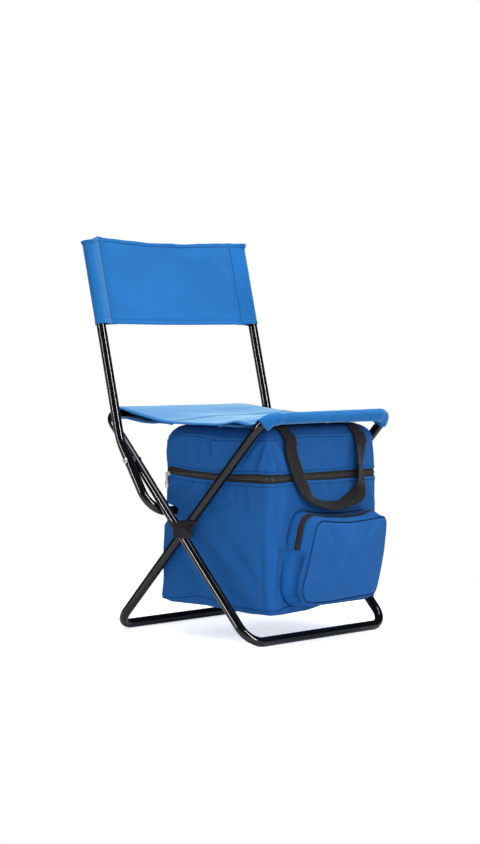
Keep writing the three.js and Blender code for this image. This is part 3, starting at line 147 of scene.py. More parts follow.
# Tube frames: two closed loops of 16 mm steel tube cross as an X, and an open U carries the back.
# Each is cold bent, a little flattened in its bends, pressed flat at the rivets and powder coated.
TUBE_R = 8.0
LEG_LEANS = {"inner": math.radians(43.3), "outer": math.radians(42.3), "back": math.radians(31.77)}
CROSSING_Z = 184.0
SEAT_BAR_Z = 372.0
INNER_X, OUTER_X, BACK_X = 157.0, 174.0, 191.0
BACK_PIVOT = (101.91, 296.0)
DENT = 0.8
SIDES = 32
STATION_GAP, RIVET_STEP = 14, 1.3
BACK_LEAN = math.radians(13.2)
BACK_UP = np.array([0, math.sin(BACK_LEAN), math.cos(BACK_LEAN)])
BACK_FORWARD = np.array([0, -math.cos(BACK_LEAN), math.sin(BACK_LEAN)])
BACK_ELBOW, BACK_FOOT, BACK_LENGTH = -39, 100, 340


def unit(vector):
    """The vector at a length of one."""
    return vector / np.linalg.norm(vector)


def bent_route(corners, radii, closed, finer=()):
    """Stations of a route in mm through rounded corners: point, direction, how bent, and inward way."""
    count = len(corners)
    stations = []
    for i, (corner, radius) in enumerate(zip(corners, radii)):
        if radius == 0:
            ahead = corners[1] if i == 0 else corners[i - 1]
            stations.append((corner, unit(ahead - corner) * (1 if i == 0 else -1), 0.0, corner * 0))
            continue
        into = unit(corner - corners[i - 1])
        out = unit(corners[(i + 1) % count] - corner)
        turn = math.acos(np.clip(into @ out, -1, 1))
        start = corner - into * radius * math.tan(turn / 2)
        side = unit(out - into * (out @ into))
        steps = max(6, int(math.degrees(turn) / 4))
        for k in range(steps + 1):
            angle = turn * k / steps
            bent = math.sin(math.pi * k / steps)
            point = start + into * radius * math.sin(angle) + side * radius * (1 - math.cos(angle))
            along = into * math.cos(angle) + side * math.sin(angle)
            stations.append((point, along, bent, side * math.cos(angle) - into * math.sin(angle)))
    dense = []
    for i, station in enumerate(stations):
        dense.append(station)
        if i + 1 == len(stations) and not closed:
            break
        after = stations[(i + 1) % len(stations)]
        gap = np.linalg.norm(after[0] - station[0])
        if gap < STATION_GAP or station[2] > 0.01 or after[2] > 0.01:
            continue
        shares = set(np.linspace(0, 1, int(gap / STATION_GAP) + 2)[1:-1])
        for spot in finer:
            hit = (spot - station[0]) @ unit(after[0] - station[0]) / gap
            if np.linalg.norm(station[0] + (after[0] - station[0]) * hit - spot) < 30:
                close = [hit + k * RIVET_STEP / gap for k in range(-9, 10)]
                shares |= {share for share in close if 0 < share < 1}
        for share in sorted(shares):
            dense.append((station[0] + (after[0] - station[0]) * share, station[1], 0.0, station[0] * 0))
    return dense


def swept_rings(stations, section, first_side):
    """Rings of a section carried along a route without twist; section gives (side, up) offsets."""
    rings = []
    side = first_side
    for point, along, bent, inward in stations:
        side = unit(side - along * (side @ along))
        up = np.cross(along, side)
        rings.append([point + side * a + up * b for a, b in section(bent, side, up, inward)])
    return np.array(rings)


def skin(rows, around=False, closed=False):
    """Quads over rows of points in mm, with each corner's place on the cloth in metres."""
    rows = np.asarray(rows, float)
    high, wide = rows.shape[:2]
    ringed = np.concatenate([rows, rows[:, :1]], axis=1) if around else rows
    stacked = np.concatenate([ringed, ringed[:1]], axis=0) if closed else ringed
    u = np.concatenate([[0], np.cumsum(np.linalg.norm(np.diff(ringed, axis=1), axis=2).mean(axis=0))]) / 1000
    v = np.concatenate([[0], np.cumsum(np.linalg.norm(np.diff(stacked, axis=0), axis=2).mean(axis=1))]) / 1000
    faces, corners = [], []
    for r in range(high if closed else high - 1):
        for c in range(wide if around else wide - 1):
            r2, c2 = (r + 1) % high, (c + 1) % wide
            faces.append((r * wide + c, r * wide + c2, r2 * wide + c2, r2 * wide + c))
            corners += [(u[c], v[r]), (u[c + 1], v[r]), (u[c + 1], v[r + 1]), (u[c], v[r + 1])]
    return rows.reshape(-1, 3), faces, corners


def together(*parts):
    """Several skins as one; parts without a place on the cloth bring none."""
    points, faces, corners = [], [], []
    for part_points, part_faces, part_corners in parts:
        start = sum(len(p) for p in points)
        points.append(np.asarray(part_points))
        faces += [tuple(start + i for i in face) for face in part_faces]
        corners += list(part_corners)
    return np.concatenate(points), faces, corners


def make_piece(name, made, material, body, stands_for=(), thick=0.0, offset=0.0):
    """A finished mesh piece from a skin in mm, on its CAD body and in place of CAD nodes."""
    points, faces, corners = made
    mesh = bpy.data.meshes.new(name)
    mesh.from_pydata((np.asarray(points) / 1000).tolist(), [], faces)
    if corners:
        layer = mesh.uv_layers.new(name="cloth_m")
        layer.data.foreach_set("uv", np.asarray(corners, dtype=np.float32).ravel())
    mesh.polygons.foreach_set("use_smooth", [True] * len(mesh.polygons))
    mesh.materials.append(material)
    mesh.update()
    piece = bpy.data.objects.new(name, mesh)
    scene.collection.objects.link(piece)
    if thick:
        shell = piece.modifiers.new("thickness", "SOLIDIFY")
        shell.thickness = thick / 1000
        shell.offset = offset
        shell.use_even_offset = False
    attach(piece, body)
    if stands_for:
        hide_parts(*stands_for)
    return piece


def principled(name):
    """A new material, its node tree and its shader."""
    material = bpy.data.materials.new(name)
    material.use_nodes = True
    return material, material.node_tree, material.node_tree.nodes["Principled BSDF"]


def mapped(tree, value, low, high, to_low, to_high):
    """A node's output carried from one range of numbers to another."""
    return node(tree, "MapRange", {
        "Value": value, "From Min": low, "From Max": high, "To Min": to_low, "To Max": to_high,
    }).outputs["Result"]


tube_paint, tree, shader = principled("tube_paint")
place = node(tree, "TexCoord").outputs["Object"]
ripple = node(tree, "TexNoise", {"Vector": place, "Scale": 420.0, "Detail": 1.0})
smudge = node(tree, "TexNoise", {"Vector": place, "Scale": 38.0, "Detail": 5.0, "Roughness": 0.6})
rubbed = node(tree, "TexNoise", {"Vector": place, "Scale": 900.0, "Detail": 4.0, "Roughness": 0.7})
height = node(tree, "SeparateXYZ", {"Vector": place}).outputs["Z"]
scuffed = node(tree, "Math", {
    0: mapped(tree, height, 0.0, 0.005, 1.0, 0.0), 1: mapped(tree, smudge.outputs["Fac"], 0.5, 0.62, 0.0, 1.0),
}, operation="MULTIPLY")
paint_colour = node(tree, "Mix", {
    "Factor": scuffed.outputs[0], 6: (0.0032, 0.0031, 0.004, 1), 7: (0.045, 0.04, 0.036, 1),
}, data_type="RGBA")
tree.links.new(paint_colour.outputs[2], shader.inputs["Base Color"])
rough = node(tree, "Math", {
    0: mapped(tree, smudge.outputs["Fac"], 0.3, 0.75, 0.08, 0.12),
    1: mapped(tree, rubbed.outputs["Fac"], 0.7, 0.8, 0.0, 0.05),
}, operation="ADD")
tree.links.new(rough.outputs[0], shader.inputs["Roughness"])
shader.inputs["Coat Weight"].default_value = 0.55
shader.inputs["Coat Roughness"].default_value = 0.11
shader.inputs["Specular IOR Level"].default_value = 0.08
bump = node(tree, "Bump", {"Height": ripple.outputs["Fac"], "Strength": 0.01, "Distance": 0.0001})
tree.links.new(bump.outputs[0], shader.inputs["Normal"])


def tube_section(bent, side, up, inward):
    """A round section, pressed a little flatter towards the inside of a bend."""
    ring = []
    for k in range(SIDES):
        turn = 2 * math.pi * k / SIDES
        offset = side * math.cos(turn) + up * math.sin(turn)
        squeeze = 1 - 0.05 * bent * abs(offset @ inward) if bent else 1
        ring.append((TUBE_R * math.cos(turn) * squeeze, TUBE_R * math.sin(turn) * squeeze))
    return ring


def pressed(rings, middles, rivets):
    """Flattens a tube's two sides where a rivet head or washer sits on them."""
    for centre_x in (-middles, middles):
        near = np.abs(rings[..., 0] - centre_x) < TUBE_R + 1
        for rivet_y, rivet_z in rivets:
            away = np.hypot(rings[..., 1] - rivet_y, rings[..., 2] - rivet_z)
            ease = np.clip((away - 6.0) / 3.0, 0, 1)
            limit = TUBE_R - DENT * (1 - ease * ease * (3 - 2 * ease))
            held = np.clip(rings[..., 0] - centre_x, -limit, limit) + centre_x
            rings[..., 0] = np.where(near & (away < 9), held, rings[..., 0])
    return rings


def leg_loop(half, lean, forward):
    """Corners of a leaned leg loop: forward is -1 where its top is at the front, 1 at the rear."""
    def at(x, along):
        """The place at a distance along the leaned leg from the crossing."""
        return np.array([x, forward * along * math.sin(lean), CROSSING_Z + along * math.cos(lean)])
    top = (SEAT_BAR_Z - CROSSING_Z) / math.cos(lean)
    foot = -(CROSSING_Z - TUBE_R) / math.cos(lean)
    return [at(half, foot), at(half, top), at(-half, top), at(-half, foot)]


for label, half, forward, rivets, body in [
    ("inner", INNER_X, -1, [(0.0, CROSSING_Z)], "inner_frame"),
    ("outer", OUTER_X, 1, [(0.0, CROSSING_Z), BACK_PIVOT], "outer_frame"),
]:
    corners = leg_loop(half, LEG_LEANS[label], forward)
    spots = [np.array([s * half, y, z]) for s in (-1, 1) for y, z in rivets]
    route = bent_route(corners, [34, 24, 24, 34], True, spots)
    plane = unit(np.cross(corners[1] - corners[0], corners[2] - corners[1]))
    rings = pressed(swept_rings(route, tube_section, plane), half, rivets)
    make_piece(f"{label}_leg_tube", skin(rings, around=True, closed=True), tube_paint, body,
               [f"{label}_leg_frame"])

arm = np.array([0, -math.sin(LEG_LEANS["back"]), -math.cos(LEG_LEANS["back"])])


def back_corner(side, along):
    """A place on the backrest's lower arm, at a distance below its rivet."""
    return np.array([side * BACK_X, BACK_PIVOT[0], BACK_PIVOT[1]]) + arm * along


back_corners = [
    back_corner(1, BACK_ELBOW) + BACK_UP * BACK_LENGTH, back_corner(1, BACK_ELBOW), back_corner(1, BACK_FOOT),
    back_corner(-1, BACK_FOOT), back_corner(-1, BACK_ELBOW), back_corner(-1, BACK_ELBOW) + BACK_UP * BACK_LENGTH,
]
back_spots = [np.array([s * BACK_X, *BACK_PIVOT]) for s in (-1, 1)]
back_route = bent_route(back_corners, [0, 90, 40, 40, 90, 0], False, back_spots)
back_rings = pressed(swept_rings(back_route, tube_section, np.array([1.0, 0, 0])), BACK_X, [BACK_PIVOT])
make_piece("backrest_tube", skin(back_rings, around=True), tube_paint, "backrest",
           ["backrest_frame"], thick=1.4, offset=-1)

# Back panel: one sheet of woven polyester, its sides turned round the two uprights and sewn back
# as sleeves with a double row, its top and bottom hemmed. The top corners of the sleeves flare.
PANEL_FOOT = np.array([0.0, 168.59, 525.82])
PANEL_HIGH, PANEL_SEAM_X, SLEEVE_R = 153.0, 160.0, 9.0
SEAT_BLUE = (0.0168, 0.133, 0.385)


def woven(name, colour, sheen, specular, pitch=0.55, lift=0.16, rough=0.62, mottled=0.1, painted_sheen=0.0):
    """Plain-woven cloth: yarns over and under, painted darker in the grooves between them as painted shade, slubs along
    both ways, faded patches and a soft sheen.

    Painted sheen is how far the colour is painted paler where the cloth is seen along its surface: a painted highlight
    of grazing light."""
    material, tree, shader = principled(name)
    place = node(tree, "UVMap", uv_map="cloth_m").outputs[0]
    turned = node(tree, "VectorMath", {0: place, 1: (math.pi / pitch * 1000,) * 3}, operation="MULTIPLY")
    waves = node(tree, "SeparateXYZ", {"Vector": turned.outputs[0]})
    warp = node(tree, "Math", {0: waves.outputs["X"]}, operation="SINE").outputs[0]
    weft = node(tree, "Math", {0: waves.outputs["Y"]}, operation="SINE").outputs[0]
    both = node(tree, "Math", {0: warp, 1: weft}, operation="MULTIPLY").outputs[0]
    over = node(tree, "Math", {0: both, 1: 0.0}, operation="GREATER_THAN").outputs[0]
    crowns = [node(tree, "Math", {0: thread}, operation="ABSOLUTE").outputs[0] for thread in (weft, warp)]
    crown = node(tree, "Mix", {0: over, 2: crowns[0], 3: crowns[1]}, data_type="FLOAT").outputs[0]
    world_place = node(tree, "TexCoord").outputs["Object"]
    patches = node(tree, "TexNoise", {"Vector": world_place, "Scale": 9.0, "Detail": 4.0, "Roughness": 0.55})
    slubs = []
    for stretch in ((260, 2600, 1), (2600, 260, 1)):
        stretched = node(tree, "Mapping", {"Vector": place, "Scale": stretch}).outputs[0]
        slubs.append(node(tree, "TexNoise", {"Vector": stretched, "Scale": 1.0, "Detail": 3.0}).outputs["Fac"])
    slub = node(tree, "Math", {0: slubs[0], 1: slubs[1]}, operation="MULTIPLY").outputs[0]
    shade = node(tree, "Math", {
        0: mapped(tree, patches.outputs["Fac"], 0.3, 0.7, 1 - mottled, 1 + mottled),
        1: mapped(tree, slub, 0.12, 0.4, 0.93, 1.07),
    }, operation="MULTIPLY").outputs[0]
    dyed = node(tree, "VectorMath", {0: tuple(colour), 3: shade}, operation="SCALE").outputs[0]
    # The colour is painted darker in the grooves between the yarn crowns and lighter on them, as painted shade.
    groove_shaded = node(tree, "VectorMath", {0: dyed, 3: mapped(tree, crown, 0.0, 1.0, 0.72, 1.08)}, operation="SCALE")
    # Painted sheen: the colour is painted towards a pale blue where the cloth is seen edge on, a painted highlight of
    # grazing light.
    edge_on = node(tree, "LayerWeight", {"Blend": 0.5}).outputs["Facing"]
    painted_sheen_share = node(tree, "Math", {0: node(tree, "Math", {0: edge_on, 1: 6.0}, operation="POWER").outputs[0], 1: painted_sheen},
                 operation="MULTIPLY").outputs[0]
    shown = node(tree, "Mix", {"Factor": painted_sheen_share, 6: groove_shaded.outputs[0], 7: (0.38, 0.6, 0.7, 1)}, data_type="RGBA")
    tree.links.new(shown.outputs[2], shader.inputs["Base Color"])
    tree.links.new(mapped(tree, crown, 0.0, 1.0, rough + 0.14, rough - 0.04), shader.inputs["Roughness"])
    shader.inputs["Sheen Weight"].default_value = sheen
    shader.inputs["Sheen Roughness"].default_value = 0.45
    shader.inputs["Sheen Tint"].default_value = (0.5, 0.9, 1.0, 1)
    shader.inputs["Specular IOR Level"].default_value = specular
    fine = node(tree, "Bump", {"Height": crown, "Strength": 0.5, "Distance": lift / 1000})
    broad = node(tree, "Bump", {
        "Height": slub, "Strength": 0.35, "Distance": 0.0006, "Normal": fine.outputs[0],
    })
    tree.links.new(broad.outputs[0], shader.inputs["Normal"])
    return material


def thread(name, colour):
    """Twisted polyester sewing thread."""
    material, tree, shader = principled(name)
    place = node(tree, "TexCoord").outputs["Object"]
    twist = node(tree, "TexWave", {"Vector": place, "Scale": 900.0, "Distortion": 2.0, "Detail": 1.0})
    tree.links.new(node(tree, "VectorMath", {
        0: tuple(colour), 3: mapped(tree, twist.outputs["Fac"], 0.0, 1.0, 0.75, 1.1),
    }, operation="SCALE").outputs[0], shader.inputs["Base Color"])
    shader.inputs["Roughness"].default_value = 0.6
    shader.inputs["Specular IOR Level"].default_value = 0.05
    return material


def bell(value, middle, width):
    """1 at the middle, falling softly to nothing about two widths away."""
    return np.exp(-(((value - middle) / width) ** 2))


def eased(value, low, high):
    """0 up to low and 1 from high, with a soft start and end between."""
    share = np.clip((value - low) / (high - low), 0, 1)
    return share * share * (3 - 2 * share)


def run_of(path, spacing):
    """A path in mm resampled at even spacing, with its directions."""
    path = np.asarray(path, float)
    length = np.concatenate([[0], np.cumsum(np.linalg.norm(np.diff(path, axis=0), axis=1))])
    count = max(2, int(length[-1] / spacing) + 1)
    at = np.linspace(0, length[-1], count)
    points = np.stack([np.interp(at, length, path[:, k]) for k in range(3)], axis=1)
    ways = np.gradient(points, axis=0)
    return points, ways / np.linalg.norm(ways, axis=1)[:, None]


def ring_faces(start, rings, sides):
    """Faces between rings of points that were made one after the other from a start."""
    return [(start + r * sides + k, start + r * sides + (k + 1) % sides,
             start + (r + 1) * sides + (k + 1) % sides, start + (r + 1) * sides + k)
            for r in range(rings - 1) for k in range(sides)]


def stitched(path, outward, pitch=3.4, long=2.5, radius=0.34, sunk=0.1):
    """Lockstitches along a path in mm: short beads of thread whose ends dip into the cloth."""
    points, ways = run_of(path, pitch)
    outward = np.broadcast_to(np.asarray(outward, float), points.shape)
    made, faces = [], []
    for point, way, out in zip(points, ways, outward):
        out = unit(out - way * (out @ way))
        side = np.cross(way, out)
        start = len(made)
        for along, fat, up in ((-0.5, 0.35, -0.9), (-0.28, 1, 0.25), (0.28, 1, 0.25), (0.5, 0.35, -0.9)):
            middle = point + way * along * long + out * (radius * up - sunk)
            for k in range(5):
                turn = 2 * math.pi * k / 5
                made.append(middle + (side * math.cos(turn) + out * math.sin(turn)) * radius * fat)
        faces += ring_faces(start, 4, 5)
        faces += [tuple(start + k for k in range(4, -1, -1)), tuple(start + 15 + k for k in range(5))]
    return np.array(made), faces, []


# Soft dents in the panel's front: place across, rise, width, height and depth in mm.
PANEL_DENTS = [
    (148, 108, 5, 7, 1.5), (149, 55, 6, 5, 1.7), (146, 30, 8, 4, 1.6), (134, 20, 16, 5, 1.3), (120, 12, 26, 4, 1.0),
    (-150, 118, 5, 9, 0.8), (-149, 40, 5, 7, 0.8), (100, 60, 40, 18, 0.9), (60, 128, 60, 10, -0.9),
    (-60, 96, 50, 30, -0.9), (20, 30, 70, 14, 0.8), (-118, 18, 24, 6, 0.8),
]


def panel_path():
    """The sheet's section: (across, forward) from one sewn edge round both uprights to the other."""
    side = [(-153.0, -0.8), (-159.0, -0.8), (-166.0, -0.9)]
    reach = math.acos(SLEEVE_R / (BACK_X - 166))
    side += [(-BACK_X + SLEEVE_R * math.cos(a), SLEEVE_R * math.sin(a))
             for a in np.linspace(-reach, reach - 2 * math.pi, 26)]
    side += [(-176.0, 4.9), (-171.0, 2.6), (-166.5, 1.1), (-163.0, 0.75)]
    middle = [(x, 0.7) for x in np.linspace(-160, 160, 61)]
    return side + middle + [(-x, n) for x, n in reversed(side)]


def panel_point(x, n, rise):
    """A place on the panel in mm: bowed away from the sitter, sagging at its top, creased at its seams."""
    share = rise / PANEL_HIGH
    across = math.sin(math.pi * np.clip((x + BACK_X) / (2 * BACK_X), 0, 1)) ** 2
    past_seam = max(0.0, abs(x) - PANEL_SEAM_X) / (BACK_X - PANEL_SEAM_X)
    front = 1.0 if n > 0 else 0.0
    within = eased(abs(x), 168, 150)
    n -= 6 * across * math.sin(math.pi * (share + 1) / 3) ** 2
    n -= front * 1.3 * (bell(abs(x), 163.4, 1.8) + bell(abs(x), 156.4, 1.8))
    hem_low = 0.55 * (1 - eased(rise, 6.2, 7.4)) - 0.5 * bell(rise, 7.6, 0.9)
    hem_high = 0.55 * eased(rise, PANEL_HIGH - 6.4, PANEL_HIGH - 5.2) - 0.5 * bell(rise, PANEL_HIGH - 6.8, 0.9)
    n += (hem_low + hem_high) * (1 if n > 0 or abs(x) < 150 else -1)
    for dent_x, dent_rise, wide, high, deep in PANEL_DENTS:
        n -= front * deep * within * bell(x, dent_x, wide) * bell(rise, dent_rise, high)
    n += front * within * 0.55 * noise.noise(Vector((x * 0.018, rise * 0.03, 4.2)))
    rise -= share * (5 * across + 4 * min(1, past_seam))
    corner = eased(share, 0.93, 1.0)
    lip = eased(abs(x), 170, 186)
    flare = 1 + corner * (0.2 if x < 0 else 0.38) * lip
    centre = math.copysign(BACK_X, x)
    if abs(x) > 168:
        x, n = centre + (x - centre) * flare, n * flare
    rise += corner * (2.8 * bell(x, -167, 9) + 1.6 * bell(x, 166, 9) - (2.2 if x < 0 else -1.5) * lip)
    rise += 1.4 * eased(share, 0.8, 1) * noise.noise(Vector((x * 0.03, 1.3, 0)))
    return PANEL_FOOT + np.array([x, 0, 0]) + BACK_FORWARD * n + BACK_UP * rise


panel_rises = np.concatenate([np.linspace(0, 9, 10), np.linspace(12, 140, 40), np.linspace(142, 153, 13)])
panel_rows = np.array([[panel_point(x, n, rise) for x, n in panel_path()] for rise in panel_rises])
# The seat and back cloth gets a strong painted sheen where it is seen edge on.
seat_weave = woven("seat_weave", SEAT_BLUE, sheen=0.16, specular=0.0, painted_sheen=0.74)
back_sheet = make_piece("back_sheet", skin(panel_rows), seat_weave, "backrest", ["back_panel"], thick=1.1)

panel_thread = thread("blue_thread", (0.0025, 0.028, 0.12))
panel_sewn = []
for x in (-163.4, -156.4, 156.4, 163.4):
    line = [panel_point(x, 0.8, rise) + BACK_FORWARD * 0.62 for rise in np.linspace(2, 151, 60)]
    panel_sewn.append(stitched(line, BACK_FORWARD, radius=0.9))
for rise in (7.6, PANEL_HIGH - 6.8):
    line = [panel_point(x, 0.7, rise) + BACK_FORWARD * 0.62 for x in np.linspace(-153, 153, 90)]
    panel_sewn.append(stitched(line, BACK_FORWARD, radius=0.45))
back_stitching = make_piece("back_stitching", together(*panel_sewn), panel_thread, "backrest")

# Seat: one sheet slung between the two seat bars, its ends turned under them and sewn back. The
# front sleeve hugs its bar and curls over its near bend, the deep rear one gapes open at the side.
SEAT_HALF = 156.0
FRONT_BAR = (-177.16, SEAT_BAR_Z)
REAR_BAR = (171.06, SEAT_BAR_Z)
SEAT_BEND_R = 24.0
SEAT_SEAMS = (-78.0, 36.0)
UNDER_GAP = 1.7
# The sheet's heights from front to rear (y, z) at its near edge, middle and far edge.
HEIGHTS = {
    "near": [(-177, 371), (-165, 366.5), (-150, 363.5), (-140, 362.4), (-128, 365), (-113, 368), (-98, 366),
             (-84, 362.4), (-68, 361.2),
             (-32, 361.2), (31, 361.4), (68, 364.2), (100, 370.8), (150, 381), (172, 385)],
    "middle": [(-177, 381), (-150, 378.6), (-133, 376.6), (-89, 372), (-32, 367.6), (31, 367.4), (98, 372),
               (150, 380.2), (172, 383)],
    "far": [(-177, 380.4), (-150, 377.5), (-133, 373.6), (-89, 370.5), (-32, 367.4), (22, 369.4), (94, 375),
            (150, 381), (172, 382.6)],
}


def softened(line, reach, spread):
    """Evenly spaced values smoothed over a reach, with both ends held where they are."""
    kernel = np.exp(-((np.arange(-reach, reach + 1) / spread) ** 2))
    padded = np.concatenate([2 * line[0] - line[reach:0:-1], line, 2 * line[-1] - line[-2:-reach - 2:-1]])
    return np.convolve(padded, kernel / kernel.sum(), mode="same")[reach:-reach]


def smooth_line(knots, spread=8.0):
    """A line through knots, softened, as a function of its first coordinate."""
    xs, ys = np.array(knots, float).T
    grid = np.linspace(xs[0], xs[-1], 240)
    soft = softened(np.interp(grid, xs, ys), 40, spread / (grid[1] - grid[0]))
    return lambda at: np.interp(at, grid, soft)


seat_lines = {key: smooth_line(knots) for key, knots in HEIGHTS.items()}


def seat_top(x, y):
    """The height of the sheet's top, slacker along its near edge and dipped at its two cross seams."""
    near, far = eased(-x, 30, 150), eased(x, 30, 150)
    height = seat_lines["middle"](y) * (1 - near - far) + seat_lines["near"](y) * near + seat_lines["far"](y) * far
    height += 0.9 * noise.noise(Vector((x * 0.012, y * 0.02, 7.0)))
    height -= 0.9 * bell(y, SEAT_SEAMS[0], 1.6) + 0.9 * bell(y, SEAT_SEAMS[1], 1.6)
    edge = eased(abs(x), SEAT_HALF - 4, SEAT_HALF)
    return height - edge * 2.6 * (1 - 0.6 * eased(abs(y), 130, 165))


def seat_place(x, y):
    """A place on the sheet; its far side runs a little wider towards the rear."""
    return np.array([x + 6 * eased(x, 90, 156) * eased(y, -60, 140), y, seat_top(x, y)])


def sleeve_place(x, angle, bar, half, lean, longer):
    """A place on the sleeve round a seat bar, which it follows into the bends at both ends."""
    side = math.copysign(1.0, x)
    outer = eased(abs(x), 112, 156)
    past = abs(x) + longer * outer - (half - SEAT_BEND_R)
    turn = min(max(0.0, past) / SEAT_BEND_R, math.pi / 2)
    drop = SEAT_BEND_R * (1 - math.cos(turn))
    middle = np.array([
        side * (half - SEAT_BEND_R + min(past, 0) + SEAT_BEND_R * math.sin(turn)),
        bar[0] - drop * math.sin(lean), bar[1] - drop * math.cos(lean),
    ])
    up = np.array([side * math.sin(turn), math.cos(turn) * math.sin(lean), math.cos(turn) * math.cos(lean)])
    level = np.array([0, math.cos(lean), -math.sin(lean)])
    hug = SLEEVE_R + 0.3 + 0.5 * noise.noise(Vector((x * 0.06, angle * 1.4, 2.0)))
    if lean < 0:
        hug += outer * (1.6 * bell(angle, -4.1, 0.8) + (4.0 if x < 0 else 1.5) * bell(angle, -1.9, 0.7))
        hug += 1.5 * eased(x, -40, 90) * bell(angle, -1.7, 0.8)
    return middle + hug * (math.cos(angle + lean) * level + math.sin(angle + lean) * up)


def seat_section(x):
    """The sheet's section at one place across, from its front sewn edge over both bars to its rear one."""
    outer = eased(abs(x), 112, 156)
    front = (FRONT_BAR, INNER_X, -LEG_LEANS["inner"], 2 if x < 0 else 10)
    rear = (REAR_BAR, OUTER_X, LEG_LEANS["outer"], 6 if x > 0 else 0)
    path = []
    start = sleeve_place(x, -1.2, *front)
    for share in np.linspace(0, 0.94, 20):
        y = SEAT_SEAMS[0] + 5 + (start[1] - SEAT_SEAMS[0] - 5) * share
        dive = eased(share, 0.55, 1)
        under = seat_top(x, y) - UNDER_GAP - 5.5 * eased(-x, 60, 150) * bell(y, -112, 20)
        path.append(((start[0] - x) * eased(share, 0.5, 1) + x, y, under * (1 - dive) + start[2] * dive))
    path += [sleeve_place(x, a, *front) for a in np.linspace(-1.2, -math.pi - 1.35, 24)]
    crest = path[-1]
    rear_top = sleeve_place(x, 1.45, *rear)
    for y in np.linspace(crest[1] + 3.5, rear_top[1] - 4, 74):
        from_crest = eased(y - crest[1], 0, 30 - 15 * outer)
        path.append(crest * (1 - from_crest) * np.array([1, 0, 1]) + seat_place(x, y) * (from_crest, 1, from_crest))
    lift = path[-1][2] - rear_top[2]
    for a in np.linspace(1.45, -1.4, 22):
        path.append(sleeve_place(x, a, *rear) + np.array([0, 0, lift * eased(a, -0.4, 1.4)]))
    _, low_y, low_z = path[-1]
    low_gap = seat_top(x, low_y) - UNDER_GAP - low_z
    gape_at, gapes = [40, 58, 66, 80, 104, 137, 165, low_y], [0, 0.6, 1.6, 5.6, 9.4, 11.6, 14.6, low_gap]
    for y in np.linspace(low_y - 3, SEAT_SEAMS[1] - 5, 28):
        gape = np.interp(y, gape_at, gapes) * low_gap / 20.8
        path.append(seat_place(x, y) - np.array([0, 0, UNDER_GAP + gape]))
    return path


seat_across = np.concatenate([np.linspace(-156, -118, 22), np.linspace(-114, 114, 52), np.linspace(118, 156, 20)])
seat_rows = np.array([seat_section(x) for x in seat_across])
x, y, z = seat_rows[..., 0], seat_rows[..., 1], seat_rows[..., 2]
on_front = eased(-y, 164, 180) * eased(z, 350, 362)
# Small upright folds where the front sleeve bunches at its mouths: place across, width and depth.
for fold_x, wide, deep in [(-146, 3.0, 1.5), (-137, 3.2, -1.2), (-127, 3.4, 1.0), (-110, 5.0, -0.7), (128, 5, 0.8),
                           (144, 4, -1.0)]:
    seat_rows[..., 1] -= on_front * deep * bell(x, fold_x + (z - SEAT_BAR_Z) * 0.35, wide)
seat_sheet = make_piece("seat_sheet", skin(seat_rows), seat_weave, "outer_frame", ["seat_panel"],
                        thick=1.1)
seat_sewn = []
for seam in SEAT_SEAMS:
    for shift in (0.0, 6.0):
        line = [seat_place(x, seam + shift) + (0, 0, 0.75) for x in np.linspace(-150, 150, 100)]
        seat_sewn.append(stitched(line, (0, 0, 1), radius=0.42))
for side in (-1, 1):
    line = [seat_place(side * (SEAT_HALF - 6), y) + (0, 0, 0.72) for y in np.linspace(-140, 160, 120)]
    seat_sewn.append(stitched(line, (0, 0, 1)))
seat_stitching = make_piece("seat_stitching", together(*seat_sewn), panel_thread, "outer_frame")
for piece in (seat_sheet, seat_stitching):
    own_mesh(piece)

# Crossing bands: a loop of black webbing round both legs of each X keeps the bag's sides to the
# frame. It is pulled tight below the rivet and flares a little at its upper edge.
WEBBING_BLACK = (0.0056, 0.0053, 0.0055)
BAND_HALF = 13.5


